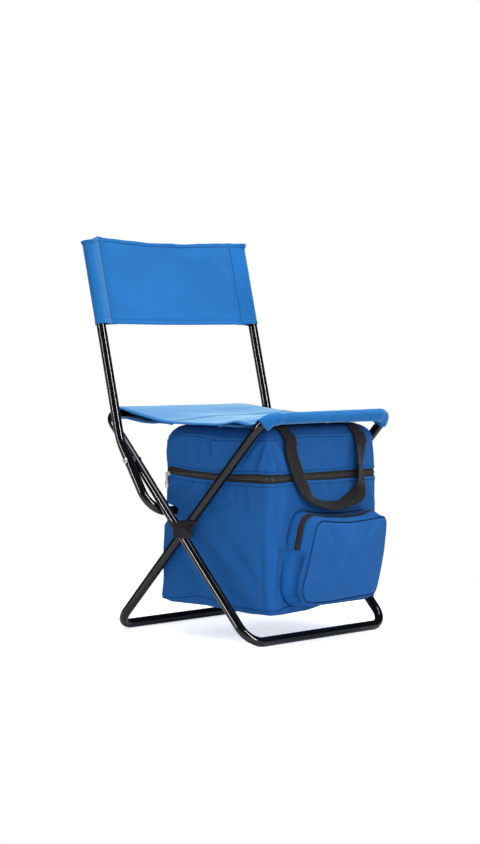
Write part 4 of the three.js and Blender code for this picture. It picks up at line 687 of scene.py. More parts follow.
def webbing(name, colour, rib=2.6, across=0.45, rib_lift=0.35):
    """Flat woven webbing: cross ribs with a fine warp in between, painted darker between the ribs as painted shade,
    slightly faded along its edges.
    """
    material, tree, shader = principled(name)
    place = node(tree, "UVMap", uv_map="cloth_m").outputs[0]
    parts = node(tree, "SeparateXYZ", {"Vector": place})
    along = node(tree, "Math", {0: parts.outputs["Y"], 1: 2 * math.pi / rib * 1000}, operation="MULTIPLY").outputs[0]
    ribs = node(tree, "Math", {0: along}, operation="SINE").outputs[0]
    slant = node(tree, "Math", {
        0: parts.outputs["X"], 1: 2 * math.pi / across * 1000, 2: along,
    }, operation="MULTIPLY_ADD").outputs[0]
    warp = node(tree, "Math", {0: slant}, operation="SINE").outputs[0]
    fuzz = node(tree, "TexNoise", {"Vector": place, "Scale": 1500.0, "Detail": 3.0})
    worn = node(tree, "TexNoise", {"Vector": place, "Scale": 40.0, "Detail": 4.0})
    # The ribs are painted lighter on their crowns and darker between them, as painted shade; the worn noise is the
    # webbing's own faded tone.
    shade = node(tree, "Math", {
        0: mapped(tree, ribs, -1.0, 1.0, 0.72, 1.25), 1: mapped(tree, worn.outputs["Fac"], 0.3, 0.7, 0.85, 1.2),
    }, operation="MULTIPLY").outputs[0]
    dyed = node(tree, "VectorMath", {0: tuple(colour), 3: shade}, operation="SCALE").outputs[0]
    flecked = node(tree, "VectorMath", {
        0: dyed, 3: mapped(tree, fuzz.outputs["Fac"], 0.3, 0.7, 0.75, 1.3),
    }, operation="SCALE").outputs[0]
    tree.links.new(flecked, shader.inputs["Base Color"])
    tree.links.new(mapped(tree, warp, -1.0, 1.0, 0.72, 0.55), shader.inputs["Roughness"])
    shader.inputs["Sheen Weight"].default_value = 0.12
    shader.inputs["Sheen Roughness"].default_value = 0.5
    shader.inputs["Sheen Tint"].default_value = (0.75, 0.73, 0.75, 1)
    shader.inputs["Specular IOR Level"].default_value = 0.07
    coarse = node(tree, "Bump", {"Height": ribs, "Strength": 0.55, "Distance": rib_lift / 1000})
    fine = node(tree, "Bump", {
        "Height": warp, "Strength": 0.4, "Distance": 0.00012, "Normal": coarse.outputs[0],
    })
    tree.links.new(fine.outputs[0], shader.inputs["Normal"])
    return material


band_weave = webbing("band_webbing", (0.0105, 0.0104, 0.0125), rib=1.7, rib_lift=0.2)


def band_ring(side, rise, slack):
    """One level of the band: a taut line round the two legs' sections."""
    held = [
        (OUTER_X, rise * math.tan(LEG_LEANS["outer"]), TUBE_R, TUBE_R / math.cos(LEG_LEANS["outer"])),
        (INNER_X, -rise * math.tan(LEG_LEANS["inner"]), TUBE_R, TUBE_R / math.cos(LEG_LEANS["inner"])),
        ((OUTER_X + INNER_X) / 2, 0, 19.4, 6.5),
    ]
    ring = []
    for k in range(96):
        turn = 2 * math.pi * k / 96
        way = np.array([math.cos(turn), math.sin(turn)])
        reached = []
        for x, y, a, b in held:
            a, b = a + slack, b + slack
            reach = math.hypot(a * way[0], b * way[1])
            reached.append((x + a * a * way[0] / reach, y + b * b * way[1] / reach))
        ring.append(max(reached, key=lambda spot: spot[0] * way[0] + spot[1] * way[1]))
    ring = np.array(ring)
    if side < 0:
        ring = ring[::-1] * np.array([-1, 1])
    return np.column_stack([ring, np.full(96, CROSSING_Z + rise)])


for hand, side in (("left", 1), ("right", -1)):
    levels = []
    for rise in np.linspace(-BAND_HALF, BAND_HALF, 28):
        flare = 1.5 + 0.6 * eased(abs(rise), 6, BAND_HALF)
        ring = band_ring(side, rise, flare)
        wave = 0.6 * np.sin(ring[:, 1] * 0.21 + side) * eased(abs(rise), 6, 13)
        ring[:, 2] += wave - 0.5 * bell(ring[:, 1], 0, 9) * (rise / BAND_HALF)
        levels.append(ring)
    band_skin = skin(levels, around=True)
    band = make_piece(f"crossing_webbing_{hand}", band_skin, band_weave, "outer_frame",
                      [f"crossing_band_{hand}"], thick=1.3, offset=-1)
    levels = np.array(levels)

# Bag: an outer box of blue polyester over foil-faced foam, hung between the legs. Its walls are
# soft and creased, its bottom panel hangs a little below the seam, and its rim carries the zip.
BAG_BLUE = (0.0085, 0.090, 0.306)
RIM_Z, BAG_FRONT_Y, BAG_REAR_Y = 267.0, -172.0, 64.0
BAG_FRONT_HALF, BAG_REAR_HALF, BAG_CORNER = 136.0, 142.0, 11.0
STOP_BAR_Z = 211.0
NEAR_FRONT_AT, FAR_FRONT_AT, FAR_REAR_AT, PERIMETER = 236.0, 508.0, 744.0, 1028.0
LEG_CLEAR_X = 144.5
UNDER_Z = 54.2


def hump(value, low, high):
    """A smooth rise and fall between two values, 0 outside them."""
    return np.sin(math.pi * np.clip((value - low) / (high - low), 0, 1)) ** 2


def bag_columns():
    """Upright lines round the bag: place across, place along the side, the wall's facing, distance round."""
    front, side, rear = FAR_FRONT_AT - NEAR_FRONT_AT, FAR_REAR_AT - FAR_FRONT_AT, PERIMETER - FAR_REAR_AT
    runs = [
        (60, lambda share: (-1, 1 - share, math.pi, NEAR_FRONT_AT * share)),
        (7, lambda share: (-1, 0, math.pi * (1 + share / 2), NEAR_FRONT_AT)),
        (68, lambda share: (2 * share - 1, 0, math.pi * 1.5, NEAR_FRONT_AT + front * share)),
        (7, lambda share: (1, 0, math.pi * (1.5 + share / 2), FAR_FRONT_AT)),
        (40, lambda share: (1, share, 2 * math.pi, FAR_FRONT_AT + side * share)),
        (7, lambda share: (1, 1, math.pi * share / 2, FAR_REAR_AT)),
        (40, lambda share: (1 - 2 * share, 1, math.pi / 2, FAR_REAR_AT + rear * share)),
        (7, lambda share: (-1, 1, math.pi * (0.5 + share / 2), PERIMETER)),
    ]
    return np.array([spot(share) for count, spot in runs for share in np.linspace(0, 1, count + 1)[:-1]])


COLUMNS = bag_columns()
OUTWARD = np.column_stack([np.cos(COLUMNS[:, 2]), np.sin(COLUMNS[:, 2]), np.zeros(len(COLUMNS))])


def round_line(knots, spread=7.0):
    """A height that changes round the bag, softened, at each of its columns."""
    places, values = np.array(sorted(knots), float).T
    fine = np.arange(0, PERIMETER, 2.0)
    line = np.interp(fine, places, values, period=PERIMETER)
    reach = np.minimum(fine, PERIMETER - fine)
    kernel = np.exp(-((reach / spread) ** 2))
    soft = np.real(np.fft.ifft(np.fft.fft(line) * np.fft.fft(kernel / kernel.sum())))
    return np.interp(COLUMNS[:, 3], fine, soft, period=PERIMETER)


def bag_at(heights, inset=0.0):
    """The bag's outline at a height for each column, moved in by inset."""
    across, along, facing, _ = COLUMNS.T
    rear = BAG_REAR_Y + 14.5 * np.clip((RIM_Z - heights) / (RIM_Z - 52), 0, None)
    below = hump(heights, STOP_BAR_Z - 24, STOP_BAR_Z + 24)
    groove = np.where(heights > STOP_BAR_Z, 1 - eased(heights - STOP_BAR_Z, 5, 14), below)
    rear = rear - (rear - 39.4) * groove
    front = BAG_FRONT_Y + 6 * np.clip((heights - RIM_Z) / 70, 0, None)
    rear, front = rear - inset, front + inset
    half = BAG_FRONT_HALF + (BAG_REAR_HALF - BAG_FRONT_HALF) * along - inset
    corner = np.maximum(BAG_CORNER - inset, 3)
    x = across * (half - corner) + corner * np.cos(facing)
    y = (front + corner) * (1 - along) + (rear - corner) * along + corner * np.sin(facing)
    beside = np.abs(np.cos(facing)) ** 2
    x = x + np.sign(across) * beside * 3 * hump(heights, CROSSING_Z - 40, CROSSING_Z + 40) * hump(y, -80, 80)
    return np.column_stack([x, y, heights])


def creased(points, creases):
    """How far soft creases push each point out: each runs between two places with a width and a depth."""
    total = np.zeros(points.shape[:-1])
    for start, end, width, deep in creases:
        start, end = np.array(start, float), np.array(end, float)
        run = end - start
        share = np.clip(((points - start) @ run) / (run @ run), 0, 1)
        away = np.linalg.norm(points - (start + share[..., None] * run), axis=-1)
        total += deep * np.exp(-((away / width) ** 2)) * np.sin(math.pi * (0.2 + 0.66 * share))
    return total


def drift(points, scale, seed):
    """Smooth random swell of the cloth at each point."""
    flat = points.reshape(-1, 3) * scale
    made = [noise.noise(Vector((x + seed, y - seed, z))) for x, y, z in flat]
    return np.array(made).reshape(points.shape[:-1])


bag_seam = round_line([
    (0, 62), (40, 64), (72, 71), (110, 68), (171, 59), (226, 56.5), (240, 57), (262, 62), (300, 65), (372, 65),
    (472, 62),
    (508, 61), (630, 64), (744, 62), (886, 64),
])
bag_low = round_line([
    (0, 59), (35, 57.5), (72, 57.4), (120, 54), (171, 51), (200, 50), (240, 49.6), (262, 49.8), (282, 50),
    (322, 50.4), (352, 53.4),
    (382, 58.2), (430, 60), (502, 59.5), (744, 59), (886, 58),
])
zip_low = round_line([
    (0, 272.5), (8, 272.4), (44, 268.7), (114, 265.4), (217, 265.1), (236, 265.2), (247, 265.5), (308, 267.2),
    (384, 265.3),
    (502, 266.3), (744, 266.8), (886, 266.8), (1010, 267.5),
])
zip_high = round_line([
    (0, 286.2), (8, 286), (44, 282), (114, 278.7), (164, 279.2), (217, 281.4), (236, 281), (247, 280.2), (308, 280.5),
    (384, 280.3), (502, 280.1), (744, 280.2), (886, 280.2), (1010, 281.5),
])
zip_mid = round_line([
    (0, 275.0), (8, 275.0), (44, 274.4), (114, 272.2), (164, 272.4), (217, 273.3), (236, 273), (247, 272.9),
    (308, 273.9),
    (384, 272.8), (502, 273.2), (744, 273.5), (886, 273.5), (1010, 274),
])

NEAR_X, FRONT_Y = -139.0, -172.0
WALL_CREASES = [
    ((NEAR_X, -39, 264), (NEAR_X, -31, 243), 3.2, -3.4), ((NEAR_X, -45, 264), (NEAR_X, -47, 248), 3.4, 2.6),
    ((NEAR_X, 2, 258), (NEAR_X, 44, 231), 7.0, -2.6), ((NEAR_X, -12, 258), (NEAR_X, 20, 226), 6.0, 2.2),
    ((NEAR_X, 30, 262), (NEAR_X, 54, 248), 4.5, 1.2), ((NEAR_X, -62, 262), (NEAR_X, -70, 240), 5.0, -1.2),
    ((NEAR_X, -95, 262), (NEAR_X, -92, 236), 6.0, -1.4), ((NEAR_X, -125, 262), (NEAR_X, -132, 225), 6.0, 1.5),
    ((NEAR_X, 10, 150), (NEAR_X, -55, 84), 8.0, 2.4), ((NEAR_X, 28, 140), (NEAR_X, -22, 78), 8.0, -2.2),
    ((NEAR_X, -40, 172), (NEAR_X, -96, 120), 10.0, 1.8), ((NEAR_X, -88, 160), (NEAR_X, -148, 88), 9.0, -1.8),
    ((NEAR_X, -150, 170), (NEAR_X, -156, 66), 6.0, -2.2), ((NEAR_X, -166, 150), (NEAR_X, -166, 70), 5.0, 2.0),
    ((NEAR_X, 40, 110), (NEAR_X, 8, 76), 5.0, 1.4), ((NEAR_X, -60, 92), (NEAR_X, -128, 66), 5.0, -1.4),
    ((NEAR_X, 20, 205), (NEAR_X, 58, 190), 6.0, -1.6), ((NEAR_X, -30, 214), (NEAR_X, -80, 232), 8.0, -1.4),
    ((-113, FRONT_Y, 152), (-122, FRONT_Y, 76), 6.0, -2.4), ((-130, FRONT_Y, 150), (-131, FRONT_Y, 74), 5.0, 2.2),
    ((-19, FRONT_Y, 262), (-9, FRONT_Y, 226), 5.0, -2.2), ((7, FRONT_Y, 262), (17, FRONT_Y, 228), 4.5, -2.4),
    ((-5, FRONT_Y, 260), (4, FRONT_Y, 230), 4.0, 1.6), ((32, FRONT_Y, 260), (27, FRONT_Y, 228), 5.0, 1.8),
    ((-60, FRONT_Y, 262), (-66, FRONT_Y, 232), 6.0, -1.2), ((-100, FRONT_Y, 258), (-112, FRONT_Y, 190), 9.0, 1.4),
    ((-126, FRONT_Y, 240), (-118, FRONT_Y, 180), 7.0, -1.4), ((70, FRONT_Y, 262), (84, FRONT_Y, 236), 6.0, -1.3),
    ((110, FRONT_Y, 258), (122, FRONT_Y, 220), 6.0, 1.4),
    ((139, -60, 240), (140, -20, 110), 12.0, -2.4), ((140, 20, 230), (139, -40, 90), 12.0, 2.2),
    ((139, -120, 200), (139, -90, 80), 10.0, 2.0), ((-70, 70, 170), (-20, 74, 90), 14.0, -2.2),
    ((60, 70, 165), (20, 74, 84), 14.0, 2.4), ((-110, 68, 250), (-90, 72, 100), 12.0, 1.8),
    ((100, 66, 252), (118, 72, 110), 10.0, -2.0),
]


def wall_rows(inset, top, shares):
    """Rows of the bag's wall from its bottom seam up to a top line, moved in by an inset."""
    return np.array([bag_at(bag_seam + (top - bag_seam) * share, inset) for share in shares])


wall_shares = np.concatenate([
    [0, 0.006, 0.014], np.linspace(0.028, 0.64, 32), np.linspace(0.65, 0.83, 26), np.linspace(0.845, 0.93, 5),
    np.linspace(0.94, 1, 7),
])
bag_rows = wall_rows(0, zip_low, wall_shares)
out = np.zeros(bag_rows.shape[:2])
up = wall_shares[:, None]
held = eased(up, 0, 0.12) * eased(up, 1.0, 0.9)
flat_wall = 1 - 0.75 * ((COLUMNS[:, 3] > 300) & (COLUMNS[:, 3] < 470) & (bag_rows[..., 2] < 215))
out += 3.4 * np.sin(math.pi * up) ** 0.8 * (np.abs(np.sin(2 * COLUMNS[:, 2])) < 0.5)
out += 2.5 * creased(bag_rows, WALL_CREASES) * flat_wall * eased(up, 1.0, 0.95)
out += (1.9 * drift(bag_rows, 0.016, 3) + 0.9 * drift(bag_rows, 0.045, 9)) * held * flat_wall
pucker = drift(bag_rows * np.array([1, 1, 0.25]), 0.13, 5)
out += 0.8 * pucker * (bell(up, 0.94, 0.045) + bell(up, 0.03, 0.03))
rear_dent = (COLUMNS[:, 1] > 0.9) & (np.abs(np.cos(COLUMNS[:, 2])) < 0.8)
out = np.where(rear_dent & (np.abs(bag_rows[..., 2] - STOP_BAR_Z) < 26), np.minimum(out, -0.6), out)
in_front = (COLUMNS[:, 3] > 262) & (COLUMNS[:, 3] < 490)
out = np.where(in_front & (out > 0), out * 0.3, out)
out += -1.6 * bell(up, 0, 0.008) + 0.7 * bell(up, 0.02, 0.012) + 0.5 * eased(up, 0.955, 0.965)
out = np.where(out < 0, -3.4 * np.tanh(-out / 3.4), out)
bag_rows += OUTWARD * out[..., None]
beyond = np.maximum(np.abs(bag_rows[..., 0]) - LEG_CLEAR_X, 0)
bag_rows[..., 0] -= np.sign(bag_rows[..., 0]) * (beyond - 2.2 * np.tanh(beyond / 2.2))

hem = [bag_rows[-1] + OUTWARD * shift + np.array([0, 0, rise]) for shift,
       rise in ((-0.5, 0.5), (-1.6, 0.3), (-2.2, -2.5), (-2.4, -6))]
under_rows = []
middle = np.array([0, (BAG_FRONT_Y + 76) / 2, 0])
for inset, share in ((60, 1.9), (40, 1.8), (24, 1.6), (14, 1.35), (8.5, 1.12), (5, 0.98), (2.2, 0.74), (0.2, 0.42),
                     (-0.6, 0.2), (-0.4, 0.07)):
    heights = bag_seam - (bag_seam - bag_low) * min(share, 1)
    if share > 1:
        heights = heights + (UNDER_Z - heights) * eased(share, 1, 1.35)
    ring = bag_at(heights, inset)
    swell = 0.8 * drift(ring, 0.05, 6) * (1 if inset < 6 else 0.0)
    ring[:, 2] += swell
    under_rows.append(ring)
centre = [(under_rows[0] + (middle - under_rows[0]) * share) * np.array([1, 1, 0]) + np.array([0, 0, UNDER_Z])
          for share in (0.99, 0.7, 0.35)]
bag_weave = woven("bag_weave", BAG_BLUE, sheen=0.07, specular=0.06, pitch=0.5, lift=0.12, rough=0.66)
bag_outside = np.array(centre + under_rows + list(bag_rows) + hem)
make_piece("bag_cover", skin(bag_outside, around=True), bag_weave, "outer_frame", ["bag_shell"],
           thick=0.9, offset=-1)

dark_thread = thread("dark_blue_thread", (0.002, 0.007, 0.032))


def nearest_places(path, points):
    """For each point, which place of the path lies nearest to it."""
    return [int(np.argmin(((path - point) ** 2).sum(axis=1))) for point in points]


def stitched_over(path, outward, pitch, **kind):
    """Stitches along a path that has its own outward direction at each place."""
    points, _ = run_of(path, pitch)
    return stitched(path, outward[nearest_places(path, points)], pitch=pitch, **kind)


def round_stitches(row, keep, drop, lift, **kind):
    """Stitches round the bag a little below or above a row of its points, on the kept columns."""
    path = row + np.array([0, 0, drop]) + OUTWARD * lift
    kept = [column for column, at in enumerate(COLUMNS[:, 3]) if keep(at)]
    return stitched_over(path[kept], OUTWARD[kept], **kind)


def three_sides(at):
    """Whether a distance round the bag is on its near, front or far side."""
    return 2 < at < 742


rim_row = np.array([[np.interp(-5.0, bag_rows[-14:, c, 2] - bag_rows[-1, c, 2], bag_rows[-14:, c, k]) for k in range(3)]
                    for c in range(len(COLUMNS))])
make_piece("bag_stitching", together(
    round_stitches(rim_row, three_sides, 0, 0.35, radius=0.45, pitch=3.8, long=2.7),
    round_stitches(bag_rows[0], lambda at: True, -0.4, 0.5, radius=0.5, pitch=3.0, long=2.8),
), dark_thread, "outer_frame")

# Lining: crinkled foil over thin foam, a second box sewn into the cover along its rim. It is seen
# only while the lid is lifted, and it follows the cover's walls.
LINER_INSET, LINER_FLOOR_Z = 4.4, 61.5
foil_skin, tree, shader = principled("crinkled_foil")
place = node(tree, "TexCoord").outputs["Object"]
facets = node(tree, "TexVoronoi", {"Vector": place, "Scale": 120.0}, feature="F1")
ruck = node(tree, "TexNoise", {"Vector": place, "Scale": 60.0, "Detail": 6.0, "Roughness": 0.6})
tone = node(tree, "VectorMath", {0: (0.62, 0.64, 0.67), 3: mapped(tree, ruck.outputs["Fac"], 0.3, 0.7, 0.8, 1.1)},
            operation="SCALE")
tree.links.new(tone.outputs[0], shader.inputs["Base Color"])
shader.inputs["Metallic"].default_value = 0.85
tree.links.new(mapped(tree, ruck.outputs["Fac"], 0.3, 0.7, 0.22, 0.42), shader.inputs["Roughness"])
crinkle = node(tree, "Bump", {"Height": facets.outputs["Distance"], "Strength": 0.5, "Distance": 0.0012})
tree.links.new(crinkle.outputs[0], shader.inputs["Normal"])
liner_shares = np.concatenate([np.linspace(0.0, 0.64, 16), np.linspace(0.65, 0.83, 22), np.linspace(0.85, 0.96, 4)])
liner_rows = wall_rows(LINER_INSET, zip_low, liner_shares)
liner_rows += OUTWARD * (0.5 * drift(liner_rows, 0.05, 12) - 0.8)[..., None]
liner_floor = [np.column_stack([liner_rows[0][:, :2] * share + middle[:2] * (1 - share),
                                np.full(len(COLUMNS), LINER_FLOOR_Z)])
               for share in (0.01, 0.4, 0.8, 0.96)]
bag_lining = make_piece("foil_lining", skin(np.array(liner_floor + list(liner_rows)), around=True), foil_skin,
                        "outer_frame",
                        ["bag_liner"], thick=2.2, offset=-1)

# Base board: a stiff dark board lies loose in the bottom of the bag, between the cover and the
# lining, and keeps the bottom flat. It is the CAD part itself, faced with pressed fibre.
board_face, tree, shader = principled("board_face")
place = node(tree, "TexCoord").outputs["Object"]
grain = node(tree, "TexNoise", {"Vector": place, "Scale": 420.0, "Detail": 5.0})
tree.links.new(node(tree, "VectorMath", {
    0: (0.07, 0.07, 0.072), 3: mapped(tree, grain.outputs["Fac"], 0.3, 0.7, 0.8, 1.25),
}, operation="SCALE").outputs[0], shader.inputs["Base Color"])
shader.inputs["Roughness"].default_value = 0.7
tree.links.new(node(tree, "Bump", {"Height": grain.outputs["Fac"], "Strength": 0.3, "Distance": 0.0003}).outputs[0],
               shader.inputs["Normal"])


def finish_part(name, material, edge):
    """Gives a shown CAD part its finish, smooth shading and a small rounded edge."""
    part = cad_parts[name]
    for holder in part.material_slots:
        holder.material = material
    for face in part.data.polygons:
        face.use_smooth = True
    rounded = part.modifiers.new("edge", "BEVEL")
    rounded.width = edge / 1000
    rounded.segments = 2
    rounded.limit_method = "ANGLE"
    rounded.angle_limit = math.radians(35)
    even = part.modifiers.new("even", "WEIGHTED_NORMAL")
    even.keep_sharp = True


finish_part("bag_base_board", board_face, 0.3)

# Lid: walls of the same cloth, joined by a seam to a top that slopes up all round. Foam fills its
# top, its corners pull into folds, and a cloth strip along the rear hinges it to the bag.
LID_TOP_Z, FOAM_TOP_Z = 355.0, 350.0
lid_seam = round_line([
    (0, 331), (10, 334), (32, 340), (63, 339.3), (101, 335.8), (120, 333.5), (176, 334), (236, 336.5), (277, 340.5),
    (365, 338.8), (470, 336.5), (508, 335.5), (620, 335), (744, 333.5), (886, 334), (1000, 331),
], spread=9)
LID_CREASES = [
    ((NEAR_X, -36, 334), (NEAR_X, -45, 309), 3.2, -2.8), ((NEAR_X, -47, 333), (NEAR_X, -50, 306), 3.6, 2.4),
    ((NEAR_X, -28, 332), (NEAR_X, -22, 316), 4.0, 1.2), ((NEAR_X, -5, 326), (NEAR_X, -13, 300), 4.5, -1.6),
    ((NEAR_X, 12, 322), (NEAR_X, 6, 296), 6.0, 1.3), ((NEAR_X, -165, 338), (NEAR_X, -147, 286), 3.8, 3.0),
    ((NEAR_X, -158, 330), (NEAR_X, -136, 284), 4.4, -2.2), ((NEAR_X, -168, 334), (NEAR_X, -161, 284), 3.4, -2.4),
    ((NEAR_X, -150, 334), (NEAR_X, -118, 296), 4.5, 1.6), ((NEAR_X, -100, 330), (NEAR_X, -92, 292), 6.0, -1.3),
    ((-135, FRONT_Y + 3, 338), (-127, FRONT_Y, 286), 3.6, 2.2),
    ((-128, FRONT_Y + 3, 336), (-114, FRONT_Y, 286), 3.8, -2.2),
    ((-118, FRONT_Y + 3, 334), (-98, FRONT_Y, 286), 4.2, 1.8),
    ((-108, FRONT_Y + 3, 336), (-86, FRONT_Y, 290), 4.0, -1.2),
    ((-50, FRONT_Y + 3, 336), (-40, FRONT_Y, 300), 8.0, -0.9), ((20, FRONT_Y + 3, 334), (30, FRONT_Y, 292), 10.0, 1.0),
    ((78, FRONT_Y + 3, 336), (66, FRONT_Y, 290), 6.0, -1.3), ((104, FRONT_Y + 3, 336), (112, FRONT_Y, 290), 6.0, 1.2),
    ((128, FRONT_Y + 3, 336), (124, FRONT_Y, 292), 5.0, -1.5),
    ((139, -130, 334), (139, -110, 290), 7.0, 1.8), ((139, -20, 330), (139, -30, 290), 8.0, -1.8),
    ((139, 40, 330), (139, 30, 288), 6.0, 1.6),
    ((-60, 64, 330), (-50, 64, 286), 8.0, -1.6), ((50, 64, 330), (60, 64, 286), 8.0, 1.5),
]
lid_shares = np.concatenate([np.linspace(0, 0.12, 6), np.linspace(0.16, 0.93, 20),
                             [0.945, 0.96, 0.972, 0.982, 0.991, 1.0]])
lid_wall = np.array([bag_at(zip_high + (lid_seam - zip_high) * share) for share in lid_shares])
lid_out = 2.6 * creased(lid_wall, LID_CREASES) * (eased(lid_shares, 0, 0.06) * eased(lid_shares, 1.0, 0.94))[:, None]
lid_up = lid_shares[:, None]
lid_out += 1.2 * np.sin(math.pi * lid_up) ** 0.8
lid_drift = 1.5 * drift(lid_wall, 0.02, 21) + 0.7 * drift(lid_wall, 0.055, 27)
lid_out += lid_drift * eased(lid_up, 0, 0.2) * eased(lid_up, 1, 0.85)
lid_pucker = drift(lid_wall * np.array([1, 1, 0.25]), 0.14, 31)
lid_out += 0.7 * lid_pucker * (bell(lid_up, 0.08, 0.07) + bell(lid_up, 0.92, 0.07))
lid_out += 0.7 * bell(lid_up, 0.962, 0.016) - 1.5 * bell(lid_up, 1.0, 0.012) + 0.5 * eased(lid_up, 0.07, 0.055)
lid_out = np.where(lid_out < 0, -3.2 * np.tanh(-lid_out / 3.2), lid_out)
lid_wall += OUTWARD * lid_out[..., None]
lid_foot = [lid_wall[0] + OUTWARD * shift + np.array([0, 0, rise])
            for shift, rise in ((-2.4, 6), (-2.2, 2.5), (-1.6, -0.3), (-0.5, -0.5))]
lid_slope = []
steep = round_line([(0, 0.7), (60, 0.8), (150, 0.9), (236, 0.7), (270, 0.6), (480, 0.6), (520, 0.8), (620, 1.0),
                    (1028, 1.0)], spread=14)
for inset, share in ((0.2, 0.03), (0.5, 0.08), (1.4, 0.14), (3.2, 0.23), (6, 0.36), (10, 0.53), (15, 0.72),
                     (20, 0.86), (27, 0.95),
                     (38, 1.0), (54, 1.0), (78, 0.99), (100, 0.96)):
    heights = lid_seam + (LID_TOP_Z + 1.5 - lid_seam) * share
    ring = bag_at(heights, inset * (steep + (1 - steep) * eased(inset, 20, 70)))
    ring[:, 2] += (1.3 * drift(ring, 0.03, 41) + 0.6 * drift(ring, 0.08, 44)) * eased(inset, 0, 12)
    ring[:, 2] -= 1.2 * eased(inset, 20, 100)
    ring -= OUTWARD * (1.5 * bell(inset, 0, 0.5))
    lid_slope.append(ring)
top_middle = np.array([0, (BAG_FRONT_Y + 6 + BAG_REAR_Y) / 2, LID_TOP_Z - 2.2])
lid_top = [lid_slope[-1] + (top_middle - lid_slope[-1]) * share for share in (0.35, 0.7, 0.99)]
lid_rows = np.array(lid_foot + list(lid_wall) + lid_slope + lid_top)
lid_cover = make_piece("lid_cover", skin(lid_rows, around=True), bag_weave, "lid", ["bag_lid"],
                       thick=0.9, offset=-1)

lid_foam_rows = []
for inset, heights in (
    (5.6, lid_seam - 9), (5.2, lid_seam - 8), (5.2, lid_seam - 4), (6.2, lid_seam + 1), (13, lid_seam + 6),
    (24, lid_seam + 9),
    (50, np.full_like(lid_seam, FOAM_TOP_Z)), (95, np.full_like(lid_seam, FOAM_TOP_Z)),
):
    lid_foam_rows.append(bag_at(heights, inset))
low = bag_at(lid_seam - 9.4, 8.0)
foam_middle = top_middle - np.array([0, 0, 2.4])
foam_under = [low + (top_middle * np.array([1, 1, 0]) + np.array([0, 0, 326.0]) - low) * share
              for share in (0.99, 0.5, 0.0)]
foam_over = [lid_foam_rows[-1] + (foam_middle - lid_foam_rows[-1]) * share for share in (0.5, 0.99)]
lid_padding = make_piece("lid_padding", skin(np.array(foam_under + lid_foam_rows + foam_over), around=True),
                         foil_skin, "lid",
                         ["lid_foam"])

REAR_COLUMNS = [c for c in range(len(COLUMNS)) if COLUMNS[c, 1] > 0.99 and math.sin(COLUMNS[c, 2]) > 0.55]
hinge_rows = []
for share in np.linspace(0, 1, 9):
    ring = bag_at(zip_low - 3.5 + (zip_high - zip_low + 7) * share, 0.9)[REAR_COLUMNS]
    ring += OUTWARD[REAR_COLUMNS] * (0.8 * math.sin(math.pi * share) + 0.4 * drift(ring, 0.05, 3))[:, None]
    hinge_rows.append(ring)
hinge_rows = np.array(hinge_rows)
rear_hinge = make_piece("rear_hinge_cloth", skin(hinge_rows), bag_weave, "outer_frame", ["lid_hinge_strip"],
                        thick=1.0)


def low_seam_row(rows, gap):
    """A line gap mm above the bottom row of the lid, on its cloth."""
    line = []
    for c in range(rows.shape[1]):
        rise = rows[:, c, 2] - rows[0, c, 2]
        line.append([np.interp(gap, rise, rows[:, c, k]) for k in range(3)])
    return np.array(line)


lid_stitching = make_piece("lid_stitching", together(
    round_stitches(low_seam_row(lid_wall, 3.6), three_sides, 0, 0.35, radius=0.45, pitch=3.8, long=2.7),
    round_stitches(lid_slope[0], lambda at: True, 0.0, -0.7, radius=0.5, pitch=3.0, long=2.8),
), dark_thread, "lid")

# Main zip: two black tapes round three sides with a nylon coil on each free edge, laid face to face
# and topstitched under the two cloth edges. The coil's turns run as fine ribs along the band.
TAPE_BLACK = (0.017, 0.0145, 0.0135)


def zip_cloth(name, colour):
    """Knitted zip tape: fine ribs along its length, painted lighter on their crowns and darker between them as painted
    shade.
    """
    material, tree, shader = principled(name)
    parts = node(tree, "SeparateXYZ", {"Vector": node(tree, "UVMap", uv_map="cloth_m").outputs[0]})
    waves = []
    for axis, pitch in (("Y", 1.5), ("X", 0.9)):
        turned = node(tree, "Math", {0: parts.outputs[axis], 1: 2 * math.pi / pitch * 1000},
                      operation="MULTIPLY").outputs[0]
        waves.append(node(tree, "Math", {0: turned}, operation="SINE").outputs[0])
    knit = node(tree, "Math", {0: waves[1], 1: 0.35, 2: waves[0]}, operation="MULTIPLY_ADD").outputs[0]
    # The knit ribs are painted lighter on their crowns and darker between them, as painted shade.
    tree.links.new(node(tree, "VectorMath", {
        0: tuple(colour), 3: mapped(tree, knit, -1.3, 1.3, 0.55, 1.5),
    }, operation="SCALE").outputs[0], shader.inputs["Base Color"])
    shader.inputs["Roughness"].default_value = 0.62
    shader.inputs["Sheen Weight"].default_value = 0.15
    shader.inputs["Sheen Roughness"].default_value = 0.4
    shader.inputs["Specular IOR Level"].default_value = 0.08
    tree.links.new(node(tree, "Bump", {"Height": knit, "Strength": 0.6, "Distance": 0.0003}).outputs[0],
                   shader.inputs["Normal"])
    return material


def nylon(name, colour):
    """Moulded coil: smooth, slightly glossy plastic."""
    material, tree, shader = principled(name)
    place = node(tree, "TexCoord").outputs["Object"]
    cloudy = node(tree, "TexNoise", {"Vector": place, "Scale": 300.0, "Detail": 3.0})
    tree.links.new(node(tree, "VectorMath", {
        0: tuple(colour), 3: mapped(tree, cloudy.outputs["Fac"], 0.3, 0.7, 0.7, 1.3),
    }, operation="SCALE").outputs[0], shader.inputs["Base Color"])
    shader.inputs["Roughness"].default_value = 0.38
    shader.inputs["Specular IOR Level"].default_value = 0.2
    return material


tape_knit = zip_cloth("zip_tape_knit", TAPE_BLACK)
coil_nylon = nylon("zip_coil_nylon", (0.03, 0.027, 0.026))
ZIP_KEPT = list(range(len(COLUMNS) - 4, len(COLUMNS)))
ZIP_KEPT += [c for c in range(len(COLUMNS) - 51) if COLUMNS[c, 3] < 745]
zip_outward = OUTWARD[ZIP_KEPT]


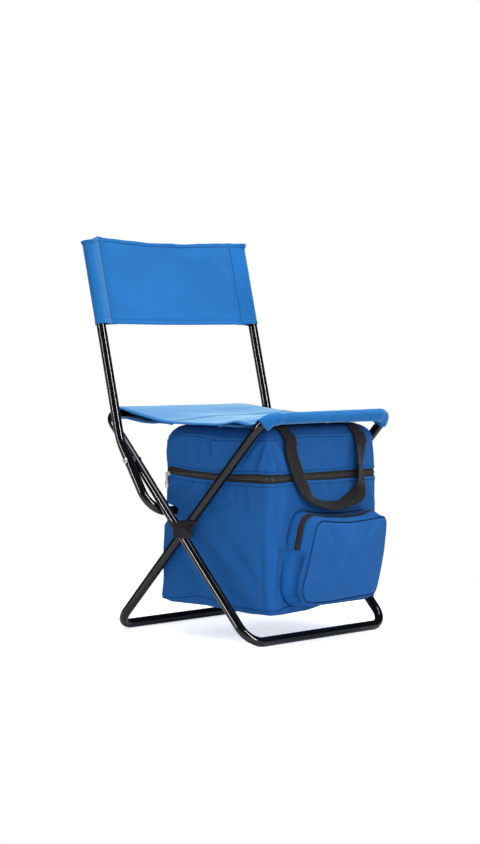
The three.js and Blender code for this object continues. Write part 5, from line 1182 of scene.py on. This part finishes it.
def zip_strip(lows, highs, inset, counts):
    """Rows of a strip that runs round three sides between two height lines, just outside the cover."""
    rows = []
    for share in np.linspace(0, 1, counts):
        rows.append(bag_at(lows + (highs - lows) * share, inset)[ZIP_KEPT] + zip_outward * 0.35)
    return np.array(rows)


def coil_turns(line, outward, side):
    """The coil's turns along a line in mm: slanted beads, side says which edge they reach from."""
    points, ways = run_of(line, 1.5)
    made, faces = [], []
    for point, way, out in zip(points, ways, outward[nearest_places(line, points)]):
        out = unit(out - way * (out @ way))
        rise = np.cross(out, way)
        if rise[2] < 0:
            rise = -rise
        start = len(made)
        foot = point + rise * side * 2.5 - way * 0.45 + out * 0.2
        head = point - rise * side * 0.4 + way * 0.45 + out * 0.2
        for spot, lift in ((foot, 0.2), (foot * 0.55 + head * 0.45, 0.95), (head, 0.3)):
            made += [spot - way * 0.5, spot + out * lift, spot + way * 0.5, spot - out * 0.5]
        faces += ring_faces(start, 3, 4)
        faces += [(start + 3, start + 2, start + 1, start), (start + 8, start + 9, start + 10, start + 11)]
    return np.array(made), faces, []


for label, body, side in (("lower", "outer_frame", -1), ("upper", "lid", 1)):
    edge = zip_low - 5 if side < 0 else zip_high + 5
    rows = zip_strip(edge, zip_mid + 0.4 * side, 2.0, 8)
    if side > 0:
        rows = rows[::-1]
    tape = make_piece(f"zip_{label}_tape", skin(rows), tape_knit, body, [f"main_zip_{label}_tape"],
                      thick=0.7, offset=-1)
    line = bag_at(zip_mid + 0.15 * side, 1.0)[ZIP_KEPT]
    beads = coil_turns(line, zip_outward, side)
    ridge_rows = []
    for rise, push in ((3.1, -0.6), (2.9, 0.3), (2.2, 0.55), (0.4, 0.5), (0.05, 0.1), (0.05, -0.6)):
        ridge_rows.append(bag_at(zip_mid + side * rise, 1.0)[ZIP_KEPT] + zip_outward * push)
    if side > 0:
        ridge_rows = ridge_rows[::-1]
    points, faces, _ = skin(np.array(ridge_rows)[::-1])
    coil = make_piece(f"zip_{label}_coil", together((points, faces, []), beads), coil_nylon, body)
    cords = []
    for gap in (4.3, 5.5):
        cord = bag_at(zip_mid + side * gap, 1.4)[ZIP_KEPT] + zip_outward * 0.5
        cord_points, cord_ways = run_of(cord, 4.0)
        rings = []
        for point, way in zip(cord_points, cord_ways):
            flat = unit(np.cross(way, (0, 0, 1.0)))
            rings.append([point + (flat * math.cos(a) + np.array([0, 0, 1]) * math.sin(a)) * 0.42
                          for a in np.linspace(0, 2 * math.pi, 7)[:-1]])
        cord_skin = skin(np.array(rings), around=True)
        cords.append((cord_skin[0], cord_skin[1], []))
    make_piece(f"zip_{label}_ribs", together(*cords), coil_nylon, body)

# Front pocket: a deep gusset sewn to the bag's front carries a slightly larger soft face. The gusset
# is doubled below its zip with a stitched edge, and folds inwards there under its own weight.
POCKET_FACE = [
    (-103, 79), (-107, 93), (-103, 107), (-93, 130), (-85.5, 153), (-79, 172), (-73, 191), (-66.5, 200.5),
    (-55, 204.6), (-18, 200.6),
    (20, 198), (60, 199.5), (96, 202.3), (107, 199.5), (111, 191), (109.6, 174), (103.5, 139), (95.5, 111),
    (87.5, 87), (82, 76),
    (72, 70.3), (14, 68.8), (-35, 67), (-80, 68.5), (-95, 71.5),
]
POCKET_BASE = [
    (-104, 74), (-113, 91), (-112, 111), (-108.5, 131), (-104, 152), (-99, 173), (-91, 198), (-82, 213), (-66, 220),
    (-30, 214),
    (20, 210), (62, 209.5), (94, 211), (103.5, 208), (106, 196), (104.6, 176), (101.8, 140), (99.6, 112), (97.6, 89),
    (94, 76),
    (80, 68), (14, 64), (-35, 62), (-80, 62.5), (-96, 66),
]
POCKET_DEPTH = 41.0
POCKET_POINTS = 240


def closed_line(knots, soft=2.72):
    """A softened closed outline through knots."""
    knots = np.array(knots + knots[:1], float)
    steps = np.diff(np.array(POCKET_FACE + POCKET_FACE[:1], float), axis=0)
    length = np.concatenate([[0], np.cumsum(np.linalg.norm(steps, axis=1))])
    at = np.linspace(0, length[-1], POCKET_POINTS + 1)[:-1]
    line = np.stack([np.interp(at, length, knots[:, k]) for k in (0, 1)], axis=1)
    reach = np.minimum(at, length[-1] - at)
    kernel = np.exp(-((reach / soft) ** 2))
    turned = np.fft.fft(kernel / kernel.sum())
    return np.stack([np.real(np.fft.ifft(np.fft.fft(line[:, k]) * turned)) for k in (0, 1)], axis=1)[::-1]


face_line, base_line = closed_line(POCKET_FACE), closed_line(POCKET_BASE)
face_ways = np.roll(face_line, -1, axis=0) - np.roll(face_line, 1, axis=0)
face_out = np.stack([-face_ways[:, 1], face_ways[:, 0]], axis=1)
face_out /= np.linalg.norm(face_out, axis=1)[:, None]
if ((face_out * (face_line - face_line.mean(axis=0))).sum(axis=1)).mean() < 0:
    face_out = -face_out
pocket_outward = np.column_stack([face_out[:, 0], np.zeros(POCKET_POINTS), face_out[:, 1]])


def pocket_ring(depth, out=0.0):
    """One ring of the gusset at a depth in front of the bag, moved out by a distance."""
    share = depth / POCKET_DEPTH
    far = eased(face_line[:, 0], 60, 100) * (face_line[:, 1] < 205)
    share = share * (1 - far) + eased(depth, 20, 42) * far
    line = base_line + (face_line - base_line) * np.asarray(share)[:, None] + face_out * np.asarray(out).reshape(-1, 1)
    return np.column_stack([line[:, 0], np.full(POCKET_POINTS, FRONT_Y - 0.3 - depth), line[:, 1]])


def gusset_fold(depth):
    """How far the gusset stands out at a depth: slack below the zip, sunk where the tape lies."""
    x, z = face_line.T
    near = eased(-x, 20, 70)
    slack = -12.0 * near * bell(depth, 25, 7.5) * eased(z, 158, 138) * eased(z, 68, 92)
    slack += 2.6 * near * bell(depth, 35, 4.5) * eased(z, 150, 128)
    slack += 0.9 * near * bell(depth, 6, 4) * eased(z, 170, 90)
    zipped = (z > 156.5) & (depth > 13.3) & (depth < 22.8)
    ripple = np.array([noise.noise(Vector((px * 0.06, depth * 0.09, pz * 0.06))) for px, pz in face_line])
    return slack + 0.9 * ripple * math.sin(math.pi * depth / 42) - 1.25 * zipped


pocket_rows = []
for depth in (-1.5, 0.3, 1.4, 2.4, 4, 6.2, 8.2, 11, 13.25, 13.35, 15, 17, 19, 21, 22.75, 22.85, 25, 27.5, 30, 33,
              35.5, 37.5):
    pocket_rows.append(pocket_ring(max(depth, 0.1), gusset_fold(depth) - 0.8 * bell(depth, 1.4, 0.8)))
for depth, out in ((38.8, 0.5), (39.9, 1.0), (40.5, 0.9), (40.8, 0.1), (40.2, -1.5), (40.0, -2.4), (40.8, -3.2),
                   (42.4, -3.4)):
    pocket_rows.append(pocket_ring(min(depth, 41.0), out) - np.array([0, max(0, depth - 41.0), 0]))
pocket_middle = np.array([face_line[:, 0].mean(), 0, face_line[:, 1].mean()])
FACE_CREASES = [
    ((-58, -214, 198), (-44, -214, 150), 7.0, 1.8), ((-40, -214, 196), (-24, -214, 150), 6.0, -1.6),
    ((-14, -214, 190), (2, -214, 150), 7.0, 1.2),
    ((36, -214, 190), (14, -214, 152), 6.0, -1.3), ((88, -214, 196), (60, -214, 160), 7.0, 1.8),
    ((70, -214, 194), (40, -214, 158), 6.0, -1.4),
    ((-88, -214, 108), (-60, -214, 112), 6.0, 1.2), ((-95, -214, 92), (-50, -214, 82), 6.0, -1.4),
    ((76, -214, 80), (40, -214, 100), 8.0, 1.4),
    ((-30, -214, 140), (20, -214, 100), 14.0, 1.2), ((60, -214, 150), (66, -214, 100), 10.0, -1.2),
    ((-84, -214, 150), (-66, -214, 140), 5.0, -1.2),
]
rim_ring = pocket_rows[-1]
for share in np.concatenate([[0.025, 0.05, 0.08], np.linspace(0.12, 0.99, 22)]):
    ring = rim_ring + (np.array([pocket_middle[0], rim_ring[0, 1], pocket_middle[2]]) - rim_ring) * share
    puff = 1.6 + 4.6 * (1 - (1 - share) ** 3)
    puff += 1.7 * creased(ring, FACE_CREASES) * min(1, share * 9)
    puff += (1.2 * drift(ring, 0.022, 51) + 0.5 * drift(ring, 0.06, 56)) * min(1, share * 8)
    ring[:, 1] -= puff - 1.2 * bell(share, 0.0, 0.02)
    pocket_rows.append(ring)
pocket_rows = np.array(pocket_rows)
pocket_skin = skin(pocket_rows, around=True)
make_piece("pocket_cover", pocket_skin, bag_weave, "outer_frame", ["pocket_shell"],
           thick=0.8, offset=-1)


def gusset_line(depth, keep, lift=0.35):
    """A line along the gusset at one depth where keep allows, just clear of the cloth."""
    ring = pocket_ring(depth, gusset_fold(depth) + lift)
    chosen = np.array([keep(x, z) for x, z in face_line])
    start = int(np.argmin(chosen)) if chosen.any() and not chosen.all() else 0
    order = np.roll(np.arange(POCKET_POINTS), -start)
    picked = [i for i in order if chosen[i]]
    return ring[picked], pocket_outward[picked]


def gusset_stitches(depth, keep, **kind):
    """Stitches along the gusset at one depth where keep allows."""
    return stitched_over(*gusset_line(depth, keep), **kind)


def on_near_or_top(x, z):
    """Whether a place on the pocket's outline is on its near side or its top."""
    return (x < 20 and z > 84) or z > 190


def face_seam_thread_and_shade():
    """Dark thread sunk in the seam between the gusset and the face, drawn fat and dark so that it also stands in for
    the seam groove's shade: partly thread, partly painted shade.
    """
    path = pocket_ring(40.6, -2.0)
    path = np.concatenate([path, path[:1]])
    return stitched(path, (0, -1, 0), radius=0.8, pitch=3.0, long=2.9, sunk=0.3)


patch_rows = []
for z in (152.5, 147.0):
    index = int(np.argmin(np.hypot(face_line[:, 0] - np.interp(z, [130, 153, 172], [-93, -85.5, -79]),
                                   face_line[:, 1] - z)))
    line = [pocket_ring(d, gusset_fold(d) + 1.25)[index] for d in np.linspace(1.5, 39, 30)]
    patch_rows.append(stitched(line, pocket_outward[index], radius=0.34, pitch=2.6, long=1.9))
make_piece("pocket_stitching", together(
    gusset_stitches(5.2, on_near_or_top, radius=0.32, pitch=2.8, long=2.0),
    gusset_stitches(11.4, lambda x, z: z > 157, radius=0.3, pitch=2.8, long=2.0),
    gusset_stitches(24.6, lambda x, z: z > 157, radius=0.3, pitch=2.8, long=2.0),
    gusset_stitches(1.2, lambda x, z: True, radius=0.5, pitch=3.0, long=2.8),
    # The face seam's dark line is partly thread and partly painted shade of its groove.
    face_seam_thread_and_shade(),
    *patch_rows,
), dark_thread, "outer_frame")

patch_made = []
near_columns = [i for i in range(POCKET_POINTS) if face_line[i, 0] < -60 and 82 < face_line[i, 1] < 156]
near_columns.sort(key=lambda i: face_line[i, 1])
for i in near_columns:
    patch_made.append([pocket_ring(d, gusset_fold(d) + 1.0)[i] for d in np.linspace(1.2, 39.2, 26)])
patch_made = np.array(patch_made)
doubled_gusset = make_piece("doubled_gusset", skin(patch_made[:, ::-1]), bag_weave, "outer_frame",
                            thick=0.9)

pocket_zip_rows = []
for depth, lift in ((12.2, -1.1), (13, -0.9), (13.6, 0.3), (15.5, 0.4), (18, 0.45), (20, 0.45), (22.5, 0.35),
                    (23.1, -0.9), (24, -1.1)):
    path, _ = gusset_line(depth, lambda x, z: z > 156.5, lift=lift)
    pocket_zip_rows.append(path)
pocket_zip_rows = np.array(pocket_zip_rows)
pocket_tape = make_piece("pocket_zip_tape_cloth", skin(pocket_zip_rows), tape_knit, "outer_frame",
                         ["pocket_zip_tape"], thick=0.6)
zip_path, zip_ways = gusset_line(18.0, lambda x, z: z > 156.5, lift=0.9)
beads = []
for side in (-1, 1):
    points, ways = run_of(zip_path, 1.4)
    made, faces = [], []
    for point, way, push in zip(points, ways, zip_ways[nearest_places(zip_path, points)]):
        start = len(made)
        across = np.array([0, 1.0, 0]) * side
        foot = point + across * 2.1 - way * 0.4
        head = point - across * 0.3 + way * 0.4
        for spot, lift in ((foot, 0.15), (foot * 0.5 + head * 0.5, 0.75), (head, 0.25)):
            made += [spot - way * 0.45, spot + push * lift, spot + way * 0.45, spot - push * 0.5]
        faces += ring_faces(start, 3, 4)
    beads.append((np.array(made), faces, []))
pocket_coil = make_piece("pocket_zip_coil", together(*beads), coil_nylon, "outer_frame")

# Carry handle: black polypropylene webbing, its ends rolled and caught below two tabs. It hangs
# flat at the near side, leans out along its bottom and twists half round on the far side.
STRAP_WIDE, STRAP_THICK = 27.0, 1.7
strap_weave = webbing("strap_webbing", WEBBING_BLACK, rib=3.1, rib_lift=0.5)
HANDLE_LINE = [
    (-90.5, -174.0, 326.2), (-87, -175.2, 308), (-81, -176.4, 292), (-71, -177.6, 270), (-61, -178.6, 253),
    (-44, -181, 236),
    (-22, -183, 227), (2, -184, 223), (26, -184.5, 224), (50, -184.5, 229.5), (68, -184.5, 238.5), (78, -184.0, 249),
    (80.5, -183.0, 265),
    (79.5, -181.0, 284), (82.5, -178.6, 304), (87, -175.6, 318), (89, -174.0, 326.2),
]
STRAP_TURNS = [(0, 0), (0.16, 0), (0.27, -0.2), (0.37, -0.95), (0.6, -1.2), (0.7, -0.75), (0.78, 0.25), (0.86, 0.5),
               (0.95, 0.2), (1, 0.0)]


def curve_through(knots, spacing, spread):
    """A soft curve near knots, resampled evenly."""
    points, _ = run_of(knots, 1.0)
    reach = int(spread * 3)
    kernel = np.exp(-((np.arange(-reach, reach + 1) / spread) ** 2))
    soft = []
    for k in range(3):
        line = points[:, k]
        padded = np.concatenate([2 * line[0] - line[reach:0:-1], line, 2 * line[-1] - line[-2:-reach - 2:-1]])
        soft.append(np.convolve(padded, kernel / kernel.sum(), mode="same")[reach:-reach])
    return run_of(np.stack(soft, axis=1), spacing)


strap_points, strap_ways = curve_through(HANDLE_LINE, 3.0, 9.0)
strap_rows = []
for i, (point, way) in enumerate(zip(strap_points, strap_ways)):
    share = i / (len(strap_points) - 1)
    turn = float(np.interp(share, *np.array(STRAP_TURNS).T))
    face = np.array([0, -1.0, 0])
    across = unit(np.cross(face, way))
    out = np.cross(way, across)
    leaned = across * math.cos(turn) + out * math.sin(turn)
    bowed = np.cross(leaned, way)
    level = eased(share, 0.03, 0) + eased(share, 0.97, 1)
    leaned = unit(leaned * (1 - level) + np.array([-math.copysign(1.0, way[2]), 0, 0]) * level)
    edge = 0.5 * noise.noise(Vector((share * 9, 2.2, 0)))
    strap_rows.append([point + leaned * w * (STRAP_WIDE / 2 + edge * 0.3) + bowed * 0.5 * (1 - (w * w))
                       for w in np.linspace(-1, 1, 13)])
strap_rows = np.array(strap_rows)
strap = make_piece("carry_strap", skin(strap_rows), strap_weave, "handle", ["carry_handle"],
                   thick=STRAP_THICK)

black_thread = thread("black_thread", (0.02, 0.02, 0.022))
tab_pieces = []
for hand, side in (("left", 1), ("right", -1)):
    middle_x = side * 89.0
    nearest = int(np.argmin(np.abs(COLUMNS[:, 3] - (NEAR_FRONT_AT + FAR_FRONT_AT) / 2 - middle_x)))
    over = [(ring[nearest, 1], ring[nearest, 2]) for ring in lid_slope[:11]][::-1]
    path = [(y - 0.3, z + 1.3) for y, z in over if y > BAG_FRONT_Y + 8.5]
    path += [(-166.8, 343.2), (-169.6, 341.4), (-171.8, 337.5), (-173.4, 332), (-174.6, 328.4), (-175.6, 325.9)]
    path_points, _ = run_of([(0, y, z) for y, z in path], 2.0)
    rows = np.array([[(middle_x + w * (STRAP_WIDE / 2 + 0.9), y, z + 0.2 * (1 - w * w))
                      for w in np.linspace(-1, 1, 11)] for _, y, z in path_points])
    tab = make_piece(f"tab_webbing_{hand}", skin(rows), strap_weave, "lid", [f"handle_tab_{hand}"],
                     thick=STRAP_THICK)
    seams = []
    for w in (-0.82, 0.82):
        column = rows[3:-8, 0] * (1 - (w + 1) / 2) + rows[3:-8, -1] * ((w + 1) / 2)
        seams.append(stitched(column + np.array([0, -0.6, 0.75]), (0, -0.5, 1), radius=0.35, pitch=2.6, long=1.9))
    for r in (4, len(rows) - 9):
        seams.append(stitched(rows[r] + np.array([0, -0.6, 0.75]), (0, -0.5, 1), radius=0.35, pitch=2.6, long=1.9))
    box_seam = make_piece(f"tab_stitching_{hand}", together(*seams), black_thread, "lid")
    tab_pieces += [tab, box_seam]

for piece in (lid_cover, lid_padding, lid_stitching, *tab_pieces):
    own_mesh(piece)

# Hardware: plated steel rivets and washers at the four joints, black moulded end plugs in the back
# tubes, and die-cast nickel sliders and pulls on the two zips.


def plated_metal(name, colour, rough, scale=220.0, dull=(0.12, 0.1, 0.09)):
    """Plated metal: fine brushing and small dull, darker spots at random."""
    material, tree, shader = principled(name)
    place = node(tree, "TexCoord").outputs["Object"]
    spots = node(tree, "TexNoise", {"Vector": place, "Scale": scale, "Detail": 6.0, "Roughness": 0.6})
    brushed = node(tree, "TexNoise", {
        "Vector": node(tree, "Mapping", {"Vector": place, "Scale": (300, 4000, 4000)}).outputs[0], "Scale": 1.0,
        "Detail": 3.0,
    })
    fade = mapped(tree, spots.outputs["Fac"], 0.55, 0.75, 0.0, 0.6)
    tone = node(tree, "Mix", {"Factor": fade, 6: (*colour, 1), 7: (*dull, 1)}, data_type="RGBA")
    tree.links.new(tone.outputs[2], shader.inputs["Base Color"])
    shader.inputs["Metallic"].default_value = 1.0
    tree.links.new(mapped(tree, spots.outputs["Fac"], 0.3, 0.75, rough, rough + 0.22), shader.inputs["Roughness"])
    tree.links.new(node(tree, "Bump",
                        {"Height": brushed.outputs["Fac"], "Strength": 0.15, "Distance": 0.0002}).outputs[0],
                   shader.inputs["Normal"])
    return material


rivet_metal = plated_metal("rivet_metal", (0.42, 0.42, 0.43), 0.28)
nickel = plated_metal("nickel_plate", (0.72, 0.71, 0.69), 0.2)
plug_black = nylon("plug_black", (0.006, 0.006, 0.006))
for hand in ("left", "right"):
    for joint in ("leg", "back"):
        finish_part(f"{joint}_rivet_{hand}", rivet_metal, 0.35)
        finish_part(f"{joint}_washer_{hand}", rivet_metal, 0.2)
    finish_part(f"back_tube_plug_{hand}", plug_black, 0.4)
for name in ("main_zip_slider", "main_zip_pull", "pocket_zip_slider", "pocket_zip_pull"):
    finish_part(name, nickel, 0.18)

size = {"cad": cad_bounds, "visual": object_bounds()}
